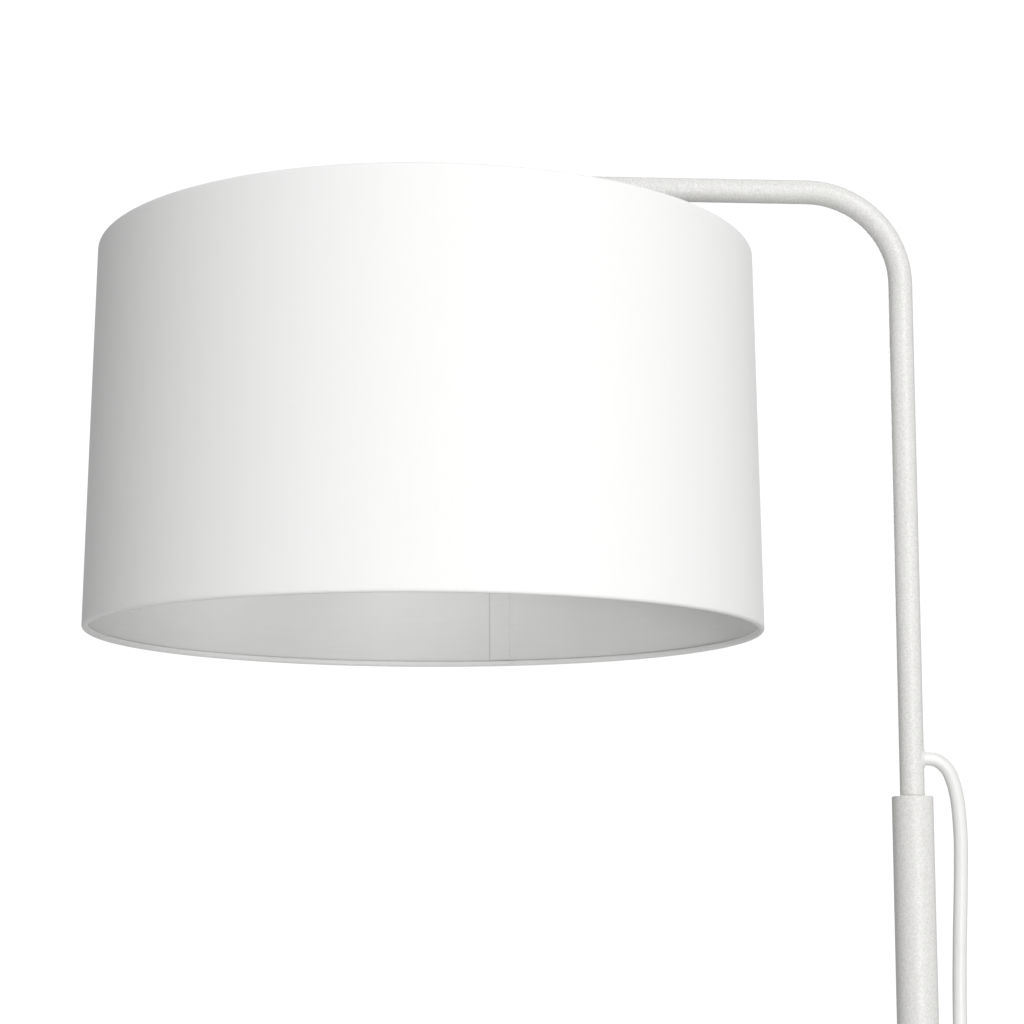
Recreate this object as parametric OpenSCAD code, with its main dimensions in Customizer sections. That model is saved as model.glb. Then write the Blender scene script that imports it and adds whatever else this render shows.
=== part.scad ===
// Arc floor lamp: a weighted round base, a two-section pole, a swivelling bent arm, a drum shade
// on a screw lampholder with its bulb, and a mains cord with a foot switch and a plug.
// Millimetres, +Z up. The origin is on the pole's axis, on the floor. The arm reaches along -X.

/* [Base] */
// Diameter of the base plate
base_d = 280; // [240:5:340]
// Thickness of the base plate
base_t = 8; // [7:0.5:12]
// Radius of the base plate's upper edge
base_edge_r = 3; // [1:0.5:5]
// Thickness of the pad under the base plate
pad_t = 2; // [1:0.5:3]
// Distance from the base plate's rim to the pad's rim
pad_inset = 6; // [3:1:15]
// Thread diameter of the base screw and the pole's joint stud
thread_d = 10; // [8:1:10]

/* [Pole] */
// Outer diameter of the pole
pole_d = 21.3; // [18:0.1:26]
// Wall of the pole
pole_wall = 1.5; // [1:0.1:1.8]
// Length of the threaded plugs in the pole's ends
plug_l = 25; // [20:1:30]
// Length of the upper swivel bush
bush_l = 30; // [20:1:40]

/* [Arm] */
// Height of the arm's highest point above the floor
lamp_h = 1500; // [1250:5:1800]
// Height of the arm's centre line above the pole's top
arm_rise = 323.5; // [300:0.5:380]
// Outer diameter of the arm's tube
arm_d = 12.7; // [12.2:0.1:16]
// Wall of the arm's tube
arm_wall = 1.2; // [1:0.05:1.3]
// Distance from the pole's axis to the shade's axis
reach = 254; // [245:1:320]
// Radius of the arm's bends, at the tube's centre
bend_r = 50; // [40:1:60]
// Length of the arm inside the pole
arm_insert = 110; // [80:5:160]
// Straight length below the arm's second bend
tip_drop = 8; // [8:1:20]
// Height of the cord's exit above the pole's top
exit_rise = 19.5; // [17:0.5:30]

/* [Shade] */
// Diameter of the shade's bottom rim
shade_d = 350; // [290:1:420]
// Diameter of the shade's top rim
shade_top_d = 343; // [294:1:400]
// Height of the shade
shade_h = 198; // [180:1:240]
// Height of the arm's centre line above the shade's top rim
shade_gap = 43; // [38:1:52]
// Thickness of the shade's fabric
fabric_t = 0.4; // [0.3:0.05:0.6]
// Thickness of the stiff backing that the fabric is bonded to
backing_t = 0.5; // [0.3:0.05:0.8]
// Diameter of the shade's wires
wire_d = 2.4; // [2.4:0.1:4]
// Height of the hem's flap inside the shade
hem_h = 5; // [5:0.5:12]
// Width of the backing's seam overlap
seam_w = 14.4; // [8:0.2:20]

/* [Lampholder] */
// Radius of the lampholder's threaded skirt
skirt_r = 19.5; // [18.5:0.1:23.5]
// Height of the lampholder's skirt
skirt_h = 34; // [32:1:38]
// Height of the lampholder's dome
dome_h = 16; // [15:0.5:20]
// Wall of the lampholder's mouldings
holder_wall = 2.2; // [2:0.1:2.4]
// Radius of the bulb's screw cap
cap_r = 13.1; // [13:0.05:13.2]
// Length of the bulb from its tip to its crown
bulb_l = 105; // [98:1:112]
// Radius of the bulb's globe
globe_r = 30; // [28:0.5:32]

/* [Cord] */
// Diameter of the mains cord
cord_d = 7.2; // [6:0.1:7.6]
// Diameter of one insulated wire inside the cord
core_d = 2.2; // [1.8:0.1:2.2]

/* [Foot switch] */
// Radius of the foot switch's case
case_r = 32; // [30:1:38]
// Height of the foot switch's case above the floor
case_h = 25; // [25:0.5:30]
// Radius of the foot switch's button
button_r = 17; // [14:0.1:18]
// Travel of the foot switch's button
button_travel = 3; // [2:0.5:3.5]
// Length of the case's cord boots
boot_l = 22; // [20:1:28]

/* [Plug] */
// Radius of the plug's body
plug_r = 18.5; // [18:0.5:20]
// Length of the plug's body
plug_body_l = 36; // [34:1:42]
// Radius of the plug's pins
pin_r = 2.4; // [2:0.1:2.4]
// Length of the plug's pins
pin_l = 19; // [18:0.5:20]

/* [Hidden] */

$fn = 72;
gap = 0.05;            // radial clearance of a thread or a pressed piece
swivel_gap = 0.05;     // radial running clearance of the arm in its bushes
cord_gap = 0.1;        // radial clearance of the cord in a hole
slit = 0.02;           // space between bonded layers
past = 1;              // how far a cutter runs past what it cuts

base_top = pad_t + base_t;
screw_gap = 0.25;      // radial clearance of the base screw's hole
head_t = 5;            // height of the base screw's countersunk head
head_key_r = 3.5;      // corner radius of the head's key hole
pole_r = pole_d / 2;
pole_bore_r = pole_r - pole_wall;
pole_top = lamp_h - arm_d / 2 - arm_rise;
section_l = (pole_top - base_top) / 2;
split_z = base_top + section_l;
pole_edge = min(0.7, pole_wall / 2);   // rounding of the pole's top edge
joint_edge = 0.4;      // chamfer of the sections where they meet
thread_r = thread_d / 2;

arm_r = arm_d / 2;
arm_bore_r = arm_r - arm_wall;
arm_z = lamp_h - arm_r;
arm_low = pole_top - arm_insert;
bend_z = arm_z - bend_r;
tip_z = bend_z - tip_drop;
foot_head = 3;         // thickness of the arm foot's head
foot_stem = 10;        // length of the arm foot inside the tube
foot_gap = 0.1;        // space between the arm's foot and the bush's floor
bush_floor = 4;        // thickness of the lower bush's floor
bush_grip = 20;        // height of the lower bush above the tube's end
drain_r = 3;           // hole in the lower bush's floor
foot_z = arm_low - foot_head;

exit_z = pole_top + exit_rise;
cord_r = cord_d / 2;
core_r = core_d / 2;
grommet_wall = 0.7;
grommet_lip = 0.6;     // how far the grommet stands proud of the tube
grommet_hole_r = cord_r + cord_gap + grommet_wall;
grommet_lip_r = grommet_hole_r + 0.5;
grommet_depth = 1.4;   // how far the grommet reaches into the bore
sheath_end = 2.6;      // where the cord's sheath ends inside the tube
entry_end = arm_r + grommet_lip - 0.6;
drop_x = arm_r + grommet_lip + 0.35;   // where the free cord begins, clear of the turning arm
bundle_r = 1.4;        // radius of the three wires' centres round the tube's axis
wire_turns = [180, 60, 300];   // the live, neutral and earth wires' places round it

ferrule = 2;           // collar between the arm's end and the lampholder
spigot_l = 7;          // length of the nipple inside the arm
dome_z = tip_z - ferrule;
skirt_z = dome_z - dome_h;
nipple_r = 5;
nipple_bore_r = 3.9;
nipple_l = 14;
tag_t = 0.8;
nut_t = 3.5;
nut_r = nipple_r + 3.1;
tag_r = nipple_r + 3;
shoulder_r = skirt_r + 3;
shoulder_t = 2;
dome_edge = 6;         // rounding of the dome's top
skirt_wall = 3;
collar_h = 5;          // height of the skirt's collar inside the dome
fitter_t = 1.5;
fitter_bore_r = skirt_r + 0.5;
fitter_r = skirt_r + 8.5;
clamp_ring_h = 8;
clamp_ring_r = fitter_r - 0.5;
grips = 18;            // finger grips round the shade ring
grip_r = 2.2;
shell_r = cap_r + 0.25;
shell_t = 0.4;
block_z = skirt_z - 2;         // top of the contact block
block_t = 10;
wire_grip = 4;         // length of the wires inside the contact block
shell_z = block_z - block_t;
insert_z = skirt_z - skirt_h + 2;
contact_drop = 2.9;
contact_t = 0.5;
contact_r = 4;
contact_strip = 1;     // thickness of the contact's strip
bulb_top = shell_z - contact_drop - 0.3;
insulator_h = 3.4;
cap_z = bulb_top - insulator_h - 1.4;
cap_h = 17;
cap_wall = 0.6;
neck_z = cap_z - cap_h;
bulb_low = bulb_top - bulb_l;
globe_z = bulb_low + globe_r;
globe_wall = 1.2;
globe_cut = 10;        // height of the globe's mouth above its centre
globe_mouth_r = sqrt(globe_r * globe_r - globe_cut * globe_cut);

shade_top = arm_z - shade_gap;
shade_low = shade_top - shade_h;
wire_r = wire_d / 2;
low_wire = [shade_d / 2 - fabric_t - gap - wire_r, shade_low + fabric_t + gap + wire_r];
top_wire = [shade_top_d / 2 - fabric_t - gap - wire_r, shade_top - fabric_t - gap - wire_r];
hem_r = wire_r + gap + fabric_t;
flap_foot = 3;         // height above the wire where the hem's flap meets the backing
seam_angle = 73.6;     // where the seam is, seen from above, from +X
spoke_angles = [30, 150, 270];

switch_at = [150, 125];
switch_pad_t = 1.2;
tray_t = 3;
tray_z = switch_pad_t + tray_t;
cable_z = 11;          // height of the cord through the case
cable_end = 26;        // distance of the cord's ends from the case's middle
case_wall = 2;
case_shoulder = 9;     // rounding of the case's upper edge
boot_step = 1.9;       // thickness of a boot's neck in the case's wall
flange_t = 2;
flange_r = button_r + 1.5;
flange_z = case_h - case_wall - 0.1;
button_rise = 8;       // height of the button above its flange's underside
button_edge = 1.5;
stem_r = 3;
stem_z = 10;           // lower end of the button's stem
module_z = 14;
module_size = [22, 18, module_z - tray_z];
spring_r = 6;
spring_wire_r = 0.4;
spring_turns = 3;
screw_ring = case_r - 7;
screw_turns = [45, 135, 225, 315];
screw_r = 1.4;
screw_head_r = 2.7;
screw_head_t = 1.5;
screw_l = 12;
post_r = 3.4;

plug_at = [15, 268];
plug_boot_l = 34;
plug_z = plug_r;
plug_grip = 8;         // depth of the cord's hole in the plug's body
plug_shoulder = 12;
pin_pitch = 19;        // distance between the pins' centres
shank_r = pin_r - 0.3; // radius of a pin's shank inside the plug's body
pin_seat = 14;         // depth of the pins' shanks
pin_point = 1;         // length of the pins' tapered ends
clip_depth = 2.5;      // depth of the earth clips' slots
clip_slot = [6, 5.2, 30];
clip_size = [0.8, 4.6, 20];
earth_hole_r = 2.6;
earth_hole_at = 10;    // distance of the earth hole from the plug's axis

tie_t = 0.8;
tie_w = 10;
tie_gap = 0.05;
tie_swell = 1;         // room for the turns' bow across the tie's width
coil_r = 41;           // middle of the coil's turns
coil_low = tie_t + tie_gap;
coil_mid = coil_low + cord_d;
coil_at = [switch_at[0] - coil_r - cord_r, 225];

lying = base_top + cord_r + 0.1;       // height of the cord's axis on the base plate

// The free cord's centre line, from the arm's side to the foot switch: out of the arm and down,
// down beside the pole at shares of its height, then over the base plate and on to the switch.
bend_points = [[0, 0], [1.2, 0], [3.6, -0.2], [6.2, -1], [9, -2.9], [11.3, -5.4], [12.8, -8],
    [13.9, -11], [15, -14.6], [15.9, -19], [16.7, -25], [17.3, -34], [17.5, -45], [16.9, -66],
    [15.5, -98]];
hang_points = [[21.9, 0, 0.885], [21.6, 0.5, 0.81], [21.5, 1, 0.71], [22.5, 0.5, 0.58],
    [24, -1, 0.45], [24, -1.5, 0.31], [22.5, -1, 0.2], [21.5, 0, 0.11]];
drop_route = concat(
    [for (p = bend_points) [drop_x + p[0], 0, exit_z + p[1]]],
    [for (p = hang_points) [p[0], p[1], base_top + p[2] * (exit_z - base_top)]],
    [[22, 0, lying + 66], [25, 0, lying + 34], [34, 0.5, lying + 12], [51, 1, lying + 1.5],
    [70, 2, lying], [90, 5, lying], [108, 11, lying], [124, 20, lying], [136, 31, lying - 0.1],
    [144, 42, lying - 0.9], [148.4, 53, lying - 1.9], [switch_at[0], 63, cable_z + 0.2],
    [switch_at[0], switch_at[1] - case_r - boot_l, cable_z],
    [switch_at[0], switch_at[1] - case_r - 6, cable_z],
    [switch_at[0], switch_at[1] - cable_end, cable_z]]);
// From the foot switch to the coil's lowest turn.
link_z = coil_low + cord_r;
link_route = [
    [switch_at[0], switch_at[1] + cable_end, cable_z],
    [switch_at[0], switch_at[1] + case_r + 6, cable_z],
    [switch_at[0], switch_at[1] + case_r + boot_l, cable_z],
    [switch_at[0], switch_at[1] + case_r + boot_l + 9, cable_z - 1.6],
    [switch_at[0], coil_at[1] - 23, link_z + 1.2],
    [switch_at[0], coil_at[1] - 14, link_z],
    [switch_at[0], coil_at[1], link_z]];
// From the coil's highest turn to the plug.
tail_z = link_z + cord_d;
tail_y = coil_at[1] + coil_r + cord_r;
tail_route = [
    [coil_at[0], tail_y, tail_z], [coil_at[0] - 11, tail_y, tail_z],
    [coil_at[0] - 22, tail_y - 0.5, tail_z - 2.6], [coil_at[0] - 32, tail_y - 1.1, cord_r + 2],
    [coil_at[0] - 42, tail_y - 1.5, cord_r + 0.2], [coil_at[0] - 52, tail_y - 1.7, cord_r + 0.5],
    [coil_at[0] - 62, plug_at[1], cord_r + 3.8], [coil_at[0] - 72, plug_at[1], plug_z - 6.5],
    [coil_at[0] - 81, plug_at[1], plug_z - 1.6], [plug_at[0], plug_at[1], plug_z],
    [plug_at[0] - 12, plug_at[1], plug_z], [plug_at[0] - 24, plug_at[1], plug_z],
    [plug_at[0] - plug_boot_l - plug_grip + 2, plug_at[1], plug_z]];

// ---- helpers ----

// A unit vector along v.
function unit(v) = v / norm(v);

// A point on the smooth curve through p, between points i and i + 1, at the share t.
function curve_point(p, i, t) =
    let (a = p[max(i - 1, 0)], b = p[i], c = p[i + 1], d = p[min(i + 2, len(p) - 1)])
    b + t * ((c - a) + t * ((2 * a - 5 * b + 4 * c - d) + t * (3 * (b - c) + d - a))) / 2;

// The smooth curve through p, with a point about every step.
function smooth(p, step) = concat(
    [for (i = [0:len(p) - 2]) let (n = max(1, round(norm(p[i + 1] - p[i]) / step)))
        for (k = [0:n - 1]) curve_point(p, i, k / n)],
    [p[len(p) - 1]]);

// The direction of a line of points at its point i.
function heading(p, i) = unit(p[min(i + 1, len(p) - 1)] - p[max(i - 1, 0)]);

// One side vector for each point, turned as little as possible from one to the next.
function sides(p, u, i = 0, done = []) = i == len(p) ? done
    : let (t = heading(p, i), v = unit(u - (u * t) * t)) sides(p, v, i + 1, concat(done, [v]));

// A round bar of radius r along the points p. first is any vector across its start.
module sweep(p, r, n = 10, first = [0, 1, 0]) {
    u = sides(p, first);
    points = [for (i = [0:len(p) - 1]) let (w = cross(heading(p, i), u[i]))
        for (k = [0:n - 1]) p[i] + r * (cos(360 * k / n) * u[i] + sin(360 * k / n) * w)];
    last = n * (len(p) - 1);
    faces = concat(
        [[for (k = [0:n - 1]) k]],
        [for (i = [0:len(p) - 2], k = [0:n - 1])
            let (a = i * n + k, b = i * n + (k + 1) % n) [a, a + n, b + n, b]],
        [[for (k = [n - 1:-1:0]) last + k]]);
    polyhedron(points, faces, convexity = 8);
}

// A tube on the Z axis from z0 to z1.
module tube(r_out, r_in, z0, z1) translate([0, 0, z0]) difference() {
    cylinder(r = r_out, h = z1 - z0);
    translate([0, 0, -past]) cylinder(r = r_in, h = z1 - z0 + 2 * past);
}

// Moves a piece from the Z axis to the shade's axis.
module at_shade() translate([-reach, 0, 0]) children();

// A round bar of radius r along the arm's line, from z_low up, over and down to z_end.
// out moves it away from the bends' centres and side moves it along Y.
module arm_run(r, z_low, z_end, out = 0, side = 0) {
    translate([out, side, z_low]) cylinder(r = r, h = bend_z - z_low);
    translate([-bend_r, 0, bend_z]) rotate([90, 0, 0]) rotate_extrude(angle = 90)
        translate([bend_r + out, -side]) circle(r);
    translate([bend_r - reach, side, arm_z + out]) rotate([0, 90, 0])
        cylinder(r = r, h = reach - 2 * bend_r);
    translate([bend_r - reach, 0, bend_z]) rotate([90, 0, 0]) rotate([0, 0, 90])
        rotate_extrude(angle = 90) translate([bend_r + out, -side]) circle(r);
    translate([-reach - out, side, z_end]) cylinder(r = r, h = bend_z - z_end);
}

// A ring of round wire. at is its radius and its height.
module wire_ring(at, r) rotate_extrude() translate(at) circle(r);

// The fabric's outer radius at a height, from the bottom wire to the top wire.
function shade_radius(z) = shade_d / 2
    + (shade_top_d - shade_d) / 2 * (z - low_wire[1]) / (top_wire[1] - low_wire[1]);

// Points round an arc in a section, from one angle to another.
function arc(middle, r, from, to) = let (n = ceil(abs(to - from) / 18))
    [for (i = [0:n]) let (a = from + (to - from) * i / n) middle + r * [cos(a), sin(a)]];

// The section of one layer of the shade, inset from the fabric's face, between two heights.
module shade_layer(inset, t, z0, z1) polygon([
    [shade_radius(z0) - inset, z0], [shade_radius(z1) - inset, z1],
    [shade_radius(z1) - inset - t, z1], [shade_radius(z0) - inset - t, z0]]);

// ---- base ----

module base_pad() color("dimgray") cylinder(d = base_d - 2 * pad_inset, h = pad_t);

module base_plate() color("whitesmoke") difference() {
    rotate_extrude() union() {
        translate([0, pad_t]) square([base_d / 2 - base_edge_r, base_t]);
        translate([0, pad_t]) square([base_d / 2, base_t - base_edge_r]);
        translate([base_d / 2 - base_edge_r, base_top - base_edge_r]) circle(base_edge_r);
    }
    translate([0, 0, -past]) cylinder(r = thread_r + screw_gap, h = base_top + 2 * past);
    translate([0, 0, pad_t - slit])
        cylinder(r1 = thread_r + head_t + 2 * screw_gap, r2 = thread_r + screw_gap,
            h = head_t + screw_gap);
}

module base_screw() color("silver") difference() {
    union() {
        translate([0, 0, pad_t + slit])
            cylinder(r1 = thread_r + head_t, r2 = thread_r, h = head_t);
        translate([0, 0, pad_t + head_t])
            cylinder(r = thread_r, h = base_t - head_t + plug_l - 4);
    }
    translate([0, 0, pad_t]) cylinder(r = head_key_r, h = head_t - 1.5, $fn = 6);
}

// ---- pole ----

// A pressed plug with a thread for the screw or stud.
module threaded_plug(z0, z1) color("silver") tube(pole_bore_r - gap, thread_r + gap, z0, z1);

module pole_foot_plug() threaded_plug(base_top, base_top + plug_l);

module lower_pole() color("white") difference() {
    tube(pole_r, pole_bore_r, base_top, split_z);
    pole_chamfer(split_z, 1);
}

module lower_joint_plug() threaded_plug(split_z - plug_l, split_z);

module joint_stud() color("silver")
    translate([0, 0, split_z - plug_l + 5]) cylinder(r = thread_r, h = 2 * plug_l - 10);

module upper_joint_plug() threaded_plug(split_z, split_z + plug_l);

// A cutter for the small chamfer at a section's end. way is 1 at a top end and -1 at a bottom end.
module pole_chamfer(z, way) translate([0, 0, z]) rotate_extrude() polygon([
    [pole_r - joint_edge, 0], [pole_r + past, 0],
    [pole_r + past, -way * (joint_edge + past)], [pole_r, -way * joint_edge]]);

module upper_pole() color("white") difference() {
    union() {
        tube(pole_r, pole_bore_r, split_z, pole_top - pole_edge);
        translate([0, 0, pole_top - pole_edge]) rotate_extrude() union() {
            translate([pole_r - pole_edge, 0]) circle(pole_edge);
            translate([pole_bore_r, 0]) square([pole_wall - pole_edge, pole_edge]);
        }
    }
    pole_chamfer(split_z, -1);
}

module lower_swivel_bush() color("ivory") difference() {
    tube(pole_bore_r - gap, drain_r, foot_z - foot_gap - bush_floor, arm_low + bush_grip);
    translate([0, 0, foot_z - foot_gap])
        cylinder(r = arm_r + swivel_gap, h = foot_head + bush_grip + past);
}

module upper_swivel_bush() color("ivory")
    tube(pole_bore_r - gap, arm_r + swivel_gap, pole_top - bush_l, pole_top - pole_edge);

// ---- arm ----

module arm_tube() color("white") difference() {
    arm_run(arm_r, arm_low, tip_z);
    arm_run(arm_bore_r, arm_low - past, tip_z - past);
    translate([0, 0, exit_z]) rotate([0, 90, 0]) cylinder(r = grommet_hole_r, h = arm_r + past);
}

module arm_foot() color("ivory") union() {
    translate([0, 0, foot_z]) cylinder(r = arm_r - 2 * gap, h = foot_head);
    translate([0, 0, arm_low]) cylinder(r = arm_bore_r - gap, h = foot_stem);
}

// A round bar along +X at the height of the cord's exit, from the pole's axis out.
module exit_bar(r) translate([0, 0, exit_z]) rotate([0, 90, 0]) cylinder(r = r, h = 2 * arm_d);

module cord_grommet() color("white") difference() {
    union() {
        intersection() {
            exit_bar(grommet_lip_r);
            tube(arm_r + grommet_lip, arm_r + slit, exit_z - arm_d, exit_z + arm_d);
        }
        intersection() {
            exit_bar(grommet_hole_r - slit);
            translate([0, 0, exit_z - arm_d])
                cylinder(r = arm_r + grommet_lip - slit, h = 2 * arm_d);
            translate([arm_bore_r - grommet_depth, -arm_d, exit_z - arm_d]) cube(2 * arm_d);
        }
    }
    exit_bar(cord_r + cord_gap);
}

module cord_entry() color("white") translate([sheath_end, 0, exit_z]) rotate([0, 90, 0])
    cylinder(r = cord_r, h = entry_end - sheath_end);

// One wire from the cord's sheath, up through the arm and down to the lampholder.
// turn is its place round the tube's axis, start its height in the sheath's end.
module wire(turn, start, z_end) {
    out = bundle_r * cos(turn);
    side = bundle_r * sin(turn);
    bend = sheath_end - out;
    arm_run(core_r, exit_z + start + bend, z_end, out, side);
    translate([sheath_end, 0, exit_z + start + bend]) rotate([90, 0, 0]) rotate([0, 0, 180])
        rotate_extrude(angle = 90) translate([bend, -side]) circle(core_r);
}

module live_wire() color("saddlebrown") wire(wire_turns[0], -1.4, block_z - wire_grip);

module neutral_wire() color("steelblue") wire(wire_turns[1], 1, block_z - wire_grip);

module earth_wire() color("yellowgreen") wire(wire_turns[2], 1, dome_z - nipple_l);

// ---- lampholder ----

module holder_nipple() color("silver") at_shade() difference() {
    union() {
        translate([0, 0, tip_z]) cylinder(r = arm_bore_r - gap, h = spigot_l);
        translate([0, 0, dome_z]) cylinder(r = arm_r, h = ferrule);
        translate([0, 0, dome_z - nipple_l]) cylinder(r = nipple_r, h = nipple_l);
    }
    translate([0, 0, dome_z - nipple_l - past])
        cylinder(r = nipple_bore_r, h = nipple_l + ferrule + spigot_l + 2 * past);
}

module earth_tag() color("gold") at_shade()
    tube(tag_r, nipple_r + gap, dome_z - holder_wall - tag_t, dome_z - holder_wall);

module lock_nut() color("silver") at_shade()
    translate([0, 0, dome_z - holder_wall - tag_t - nut_t]) difference() {
        cylinder(r = nut_r, h = nut_t, $fn = 6);
        translate([0, 0, -past]) cylinder(r = nipple_r + gap, h = nut_t + 2 * past);
    }

module holder_dome() color("white") at_shade() translate([0, 0, skirt_z]) difference() {
    rotate_extrude() union() {
        square([shoulder_r, shoulder_t]);
        square([skirt_r, dome_h - dome_edge]);
        square([skirt_r - dome_edge, dome_h]);
        translate([skirt_r - dome_edge, dome_h - dome_edge]) circle(dome_edge);
    }
    translate([0, 0, -past])
        cylinder(r = skirt_r - holder_wall, h = dome_h - dome_edge + past);
    translate([0, 0, -past])
        cylinder(r = skirt_r - dome_edge, h = dome_h - holder_wall + past);
    cylinder(r = nipple_r + gap, h = dome_h + past);
}

module holder_skirt() color("white") at_shade() translate([0, 0, skirt_z]) difference() {
    union() {
        translate([0, 0, -skirt_h]) cylinder(r = skirt_r, h = skirt_h);
        cylinder(r = skirt_r - holder_wall - gap, h = collar_h);
    }
    translate([0, 0, -skirt_h - past])
        cylinder(r = skirt_r - skirt_wall, h = skirt_h + collar_h + 2 * past);
}

module holder_insert() color("ivory") at_shade() difference() {
    translate([0, 0, insert_z])
        cylinder(r = skirt_r - skirt_wall - gap, h = block_z - insert_z);
    translate([0, 0, insert_z - past])
        cylinder(r = shell_r + shell_t + gap, h = shell_z - insert_z + past);
    for (i = [0, 1]) let (turn = wire_turns[i])
        translate([-bundle_r * cos(turn), bundle_r * sin(turn), block_z - wire_grip])
            cylinder(r = core_r + gap, h = wire_grip + past);
}

module screw_shell() color("gold") at_shade()
    tube(shell_r + shell_t, shell_r, insert_z + 2, shell_z);

module centre_contact() color("gold") at_shade() union() {
    translate([0, 0, shell_z - contact_drop]) cylinder(r = contact_r, h = contact_t);
    translate([contact_r - contact_strip, -contact_r / 2, shell_z - contact_drop])
        cube([contact_strip, contact_r, contact_drop]);
}

module shade_ring() color("white") at_shade() difference() {
    tube(clamp_ring_r, skirt_r + gap, skirt_z - fitter_t - clamp_ring_h, skirt_z - fitter_t);
    for (i = [1:grips]) rotate(360 * i / grips)
        translate([clamp_ring_r + 0.7 * grip_r, 0, skirt_z - fitter_t - clamp_ring_h - past])
            cylinder(r = grip_r, h = clamp_ring_h - 1);
}

// ---- shade ----

module fitter_ring() color("white") at_shade()
    tube(fitter_r, fitter_bore_r, skirt_z - fitter_t, skirt_z);

// One spoke's line, from the top wire down to the fitter ring.
module spoke(r) {
    from = [top_wire[0], top_wire[1]];
    to = [fitter_r - 2, skirt_z - fitter_t / 2];
    d = to - from;
    translate([from[0], 0, from[1]]) rotate([0, atan2(d[0], d[1]), 0]) cylinder(r = r, h = norm(d));
}

module shade_spokes() color("white") at_shade() difference() {
    for (turn = spoke_angles) rotate(turn) spoke(wire_r - 0.1);
    wire_ring(top_wire, wire_r + slit);
    translate([0, 0, skirt_z - 10]) cylinder(r = fitter_r + slit, h = 20);
}

module shade_top_wire() color("white") at_shade() wire_ring(top_wire, wire_r);

module shade_bottom_wire() color("white") at_shade() wire_ring(low_wire, wire_r);

// The fabric's section: over the top wire, down the outside, round the bottom wire and up to
// its flap's end on the backing's inside. The face away from the wires comes first.
function fabric_section() = concat(
    arc(top_wire, hem_r, 90, 0),
    arc(low_wire, hem_r, 0, -225),
    [flap_point(flap_foot, fabric_t), flap_point(hem_h, fabric_t),
        flap_point(hem_h, 0), flap_point(flap_foot, 0)],
    arc(low_wire, wire_r + gap, -225, 0),
    arc(top_wire, wire_r + gap, 0, 90));

// A point on the flap, at a height above the bottom wire and a distance in from the backing.
function flap_point(h, in) =
    [shade_radius(low_wire[1] + h) - fabric_t - backing_t - 2 * slit - in, low_wire[1] + h];

module shade_fabric() color("white") at_shade() rotate_extrude($fn = 180)
    polygon(fabric_section());

module shade_backing() color("gainsboro") at_shade() rotate_extrude($fn = 180)
    shade_layer(fabric_t + slit, backing_t, low_wire[1] + hem_r, top_wire[1] - hem_r);

module shade_seam() color("gainsboro") at_shade() rotate(seam_angle - seam_w / shade_d * 360 / PI)
    rotate_extrude(angle = 2 * seam_w / shade_d * 360 / PI)
        shade_layer(fabric_t + backing_t + 2 * slit, 0.3,
            low_wire[1] + hem_h + slit, top_wire[1] - hem_r - slit);

// ---- bulb ----

module bulb_globe() color("white") at_shade() difference() {
    translate([0, 0, globe_z]) sphere(r = globe_r);
    translate([0, 0, globe_z]) sphere(r = globe_r - globe_wall);
    translate([0, 0, globe_z + globe_cut]) cylinder(r = globe_r + past, h = globe_r);
}

module bulb_housing() color("white") at_shade() rotate_extrude() polygon([
    [0, neck_z], [cap_r + 0.6, neck_z], [cap_r + 1.2, neck_z - 3], [cap_r + 4, neck_z - 13],
    [globe_r - 5, globe_z + globe_cut + 6], [globe_mouth_r, globe_z + globe_cut],
    [0, globe_z + globe_cut]]);

module bulb_cap() color("silver") at_shade() tube(cap_r, cap_r - cap_wall, neck_z, cap_z);

module bulb_insulator() color("black") at_shade() translate([0, 0, cap_z - 2]) union() {
    cylinder(r = cap_r - cap_wall - slit, h = 2);
    translate([0, 0, 2]) cylinder(r1 = cap_r - cap_wall, r2 = 5, h = insulator_h);
}

module bulb_tip() color("silver") at_shade()
    translate([0, 0, cap_z + insulator_h])
        cylinder(r1 = 4.6, r2 = 4, h = bulb_top - cap_z - insulator_h);

// ---- cord ----

module cord_drop() color("white") sweep(smooth(drop_route, 21), cord_r);

module cord_link() color("white") sweep(smooth(link_route, 14), cord_r, first = [1, 0, 0]);

// The outline round a bundle of two by two turns.
module bundle() {
    for (x = [-cord_r, cord_r], y = [-cord_r, cord_r]) translate([x, y]) circle(cord_r);
    square([2 * cord_d, cord_d], center = true);
    square([cord_d, 2 * cord_d], center = true);
}

module cord_coil() color("white") translate([coil_at[0], coil_at[1], coil_mid]) rotate_extrude()
    translate([coil_r, 0]) bundle();

module cord_tail() color("white") sweep(smooth(tail_route, 14), cord_r);

module coil_tie() color("lightgray") translate([coil_at[0], coil_at[1], coil_mid])
    rotate(225) translate([coil_r, 0, 0]) difference() {
        cube([2 * (cord_d + tie_gap + tie_t) + tie_swell, tie_w,
            2 * (cord_d + tie_gap + tie_t)], center = true);
        cube([2 * (cord_d + tie_gap) + tie_swell, tie_w + past, 2 * (cord_d + tie_gap)],
            center = true);
    }

// ---- foot switch ----

module at_switch() translate([switch_at[0], switch_at[1], 0]) children();

// Puts a piece at each of the case's screws.
module at_screws() for (turn = screw_turns) rotate(turn) translate([screw_ring, 0, 0]) children();

module switch_pad() color("dimgray") at_switch() difference() {
    cylinder(r = case_r - 2, h = switch_pad_t);
    at_screws() translate([0, 0, -past]) cylinder(r = post_r, h = switch_pad_t + 2 * past);
}

module switch_base() color("white") at_switch() difference() {
    translate([0, 0, switch_pad_t]) cylinder(r = case_r, h = tray_t);
    at_screws() cylinder(r = screw_head_r + 0.3, h = switch_pad_t + screw_head_t);
    at_screws() cylinder(r = screw_r + gap, h = tray_z + past);
}

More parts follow.
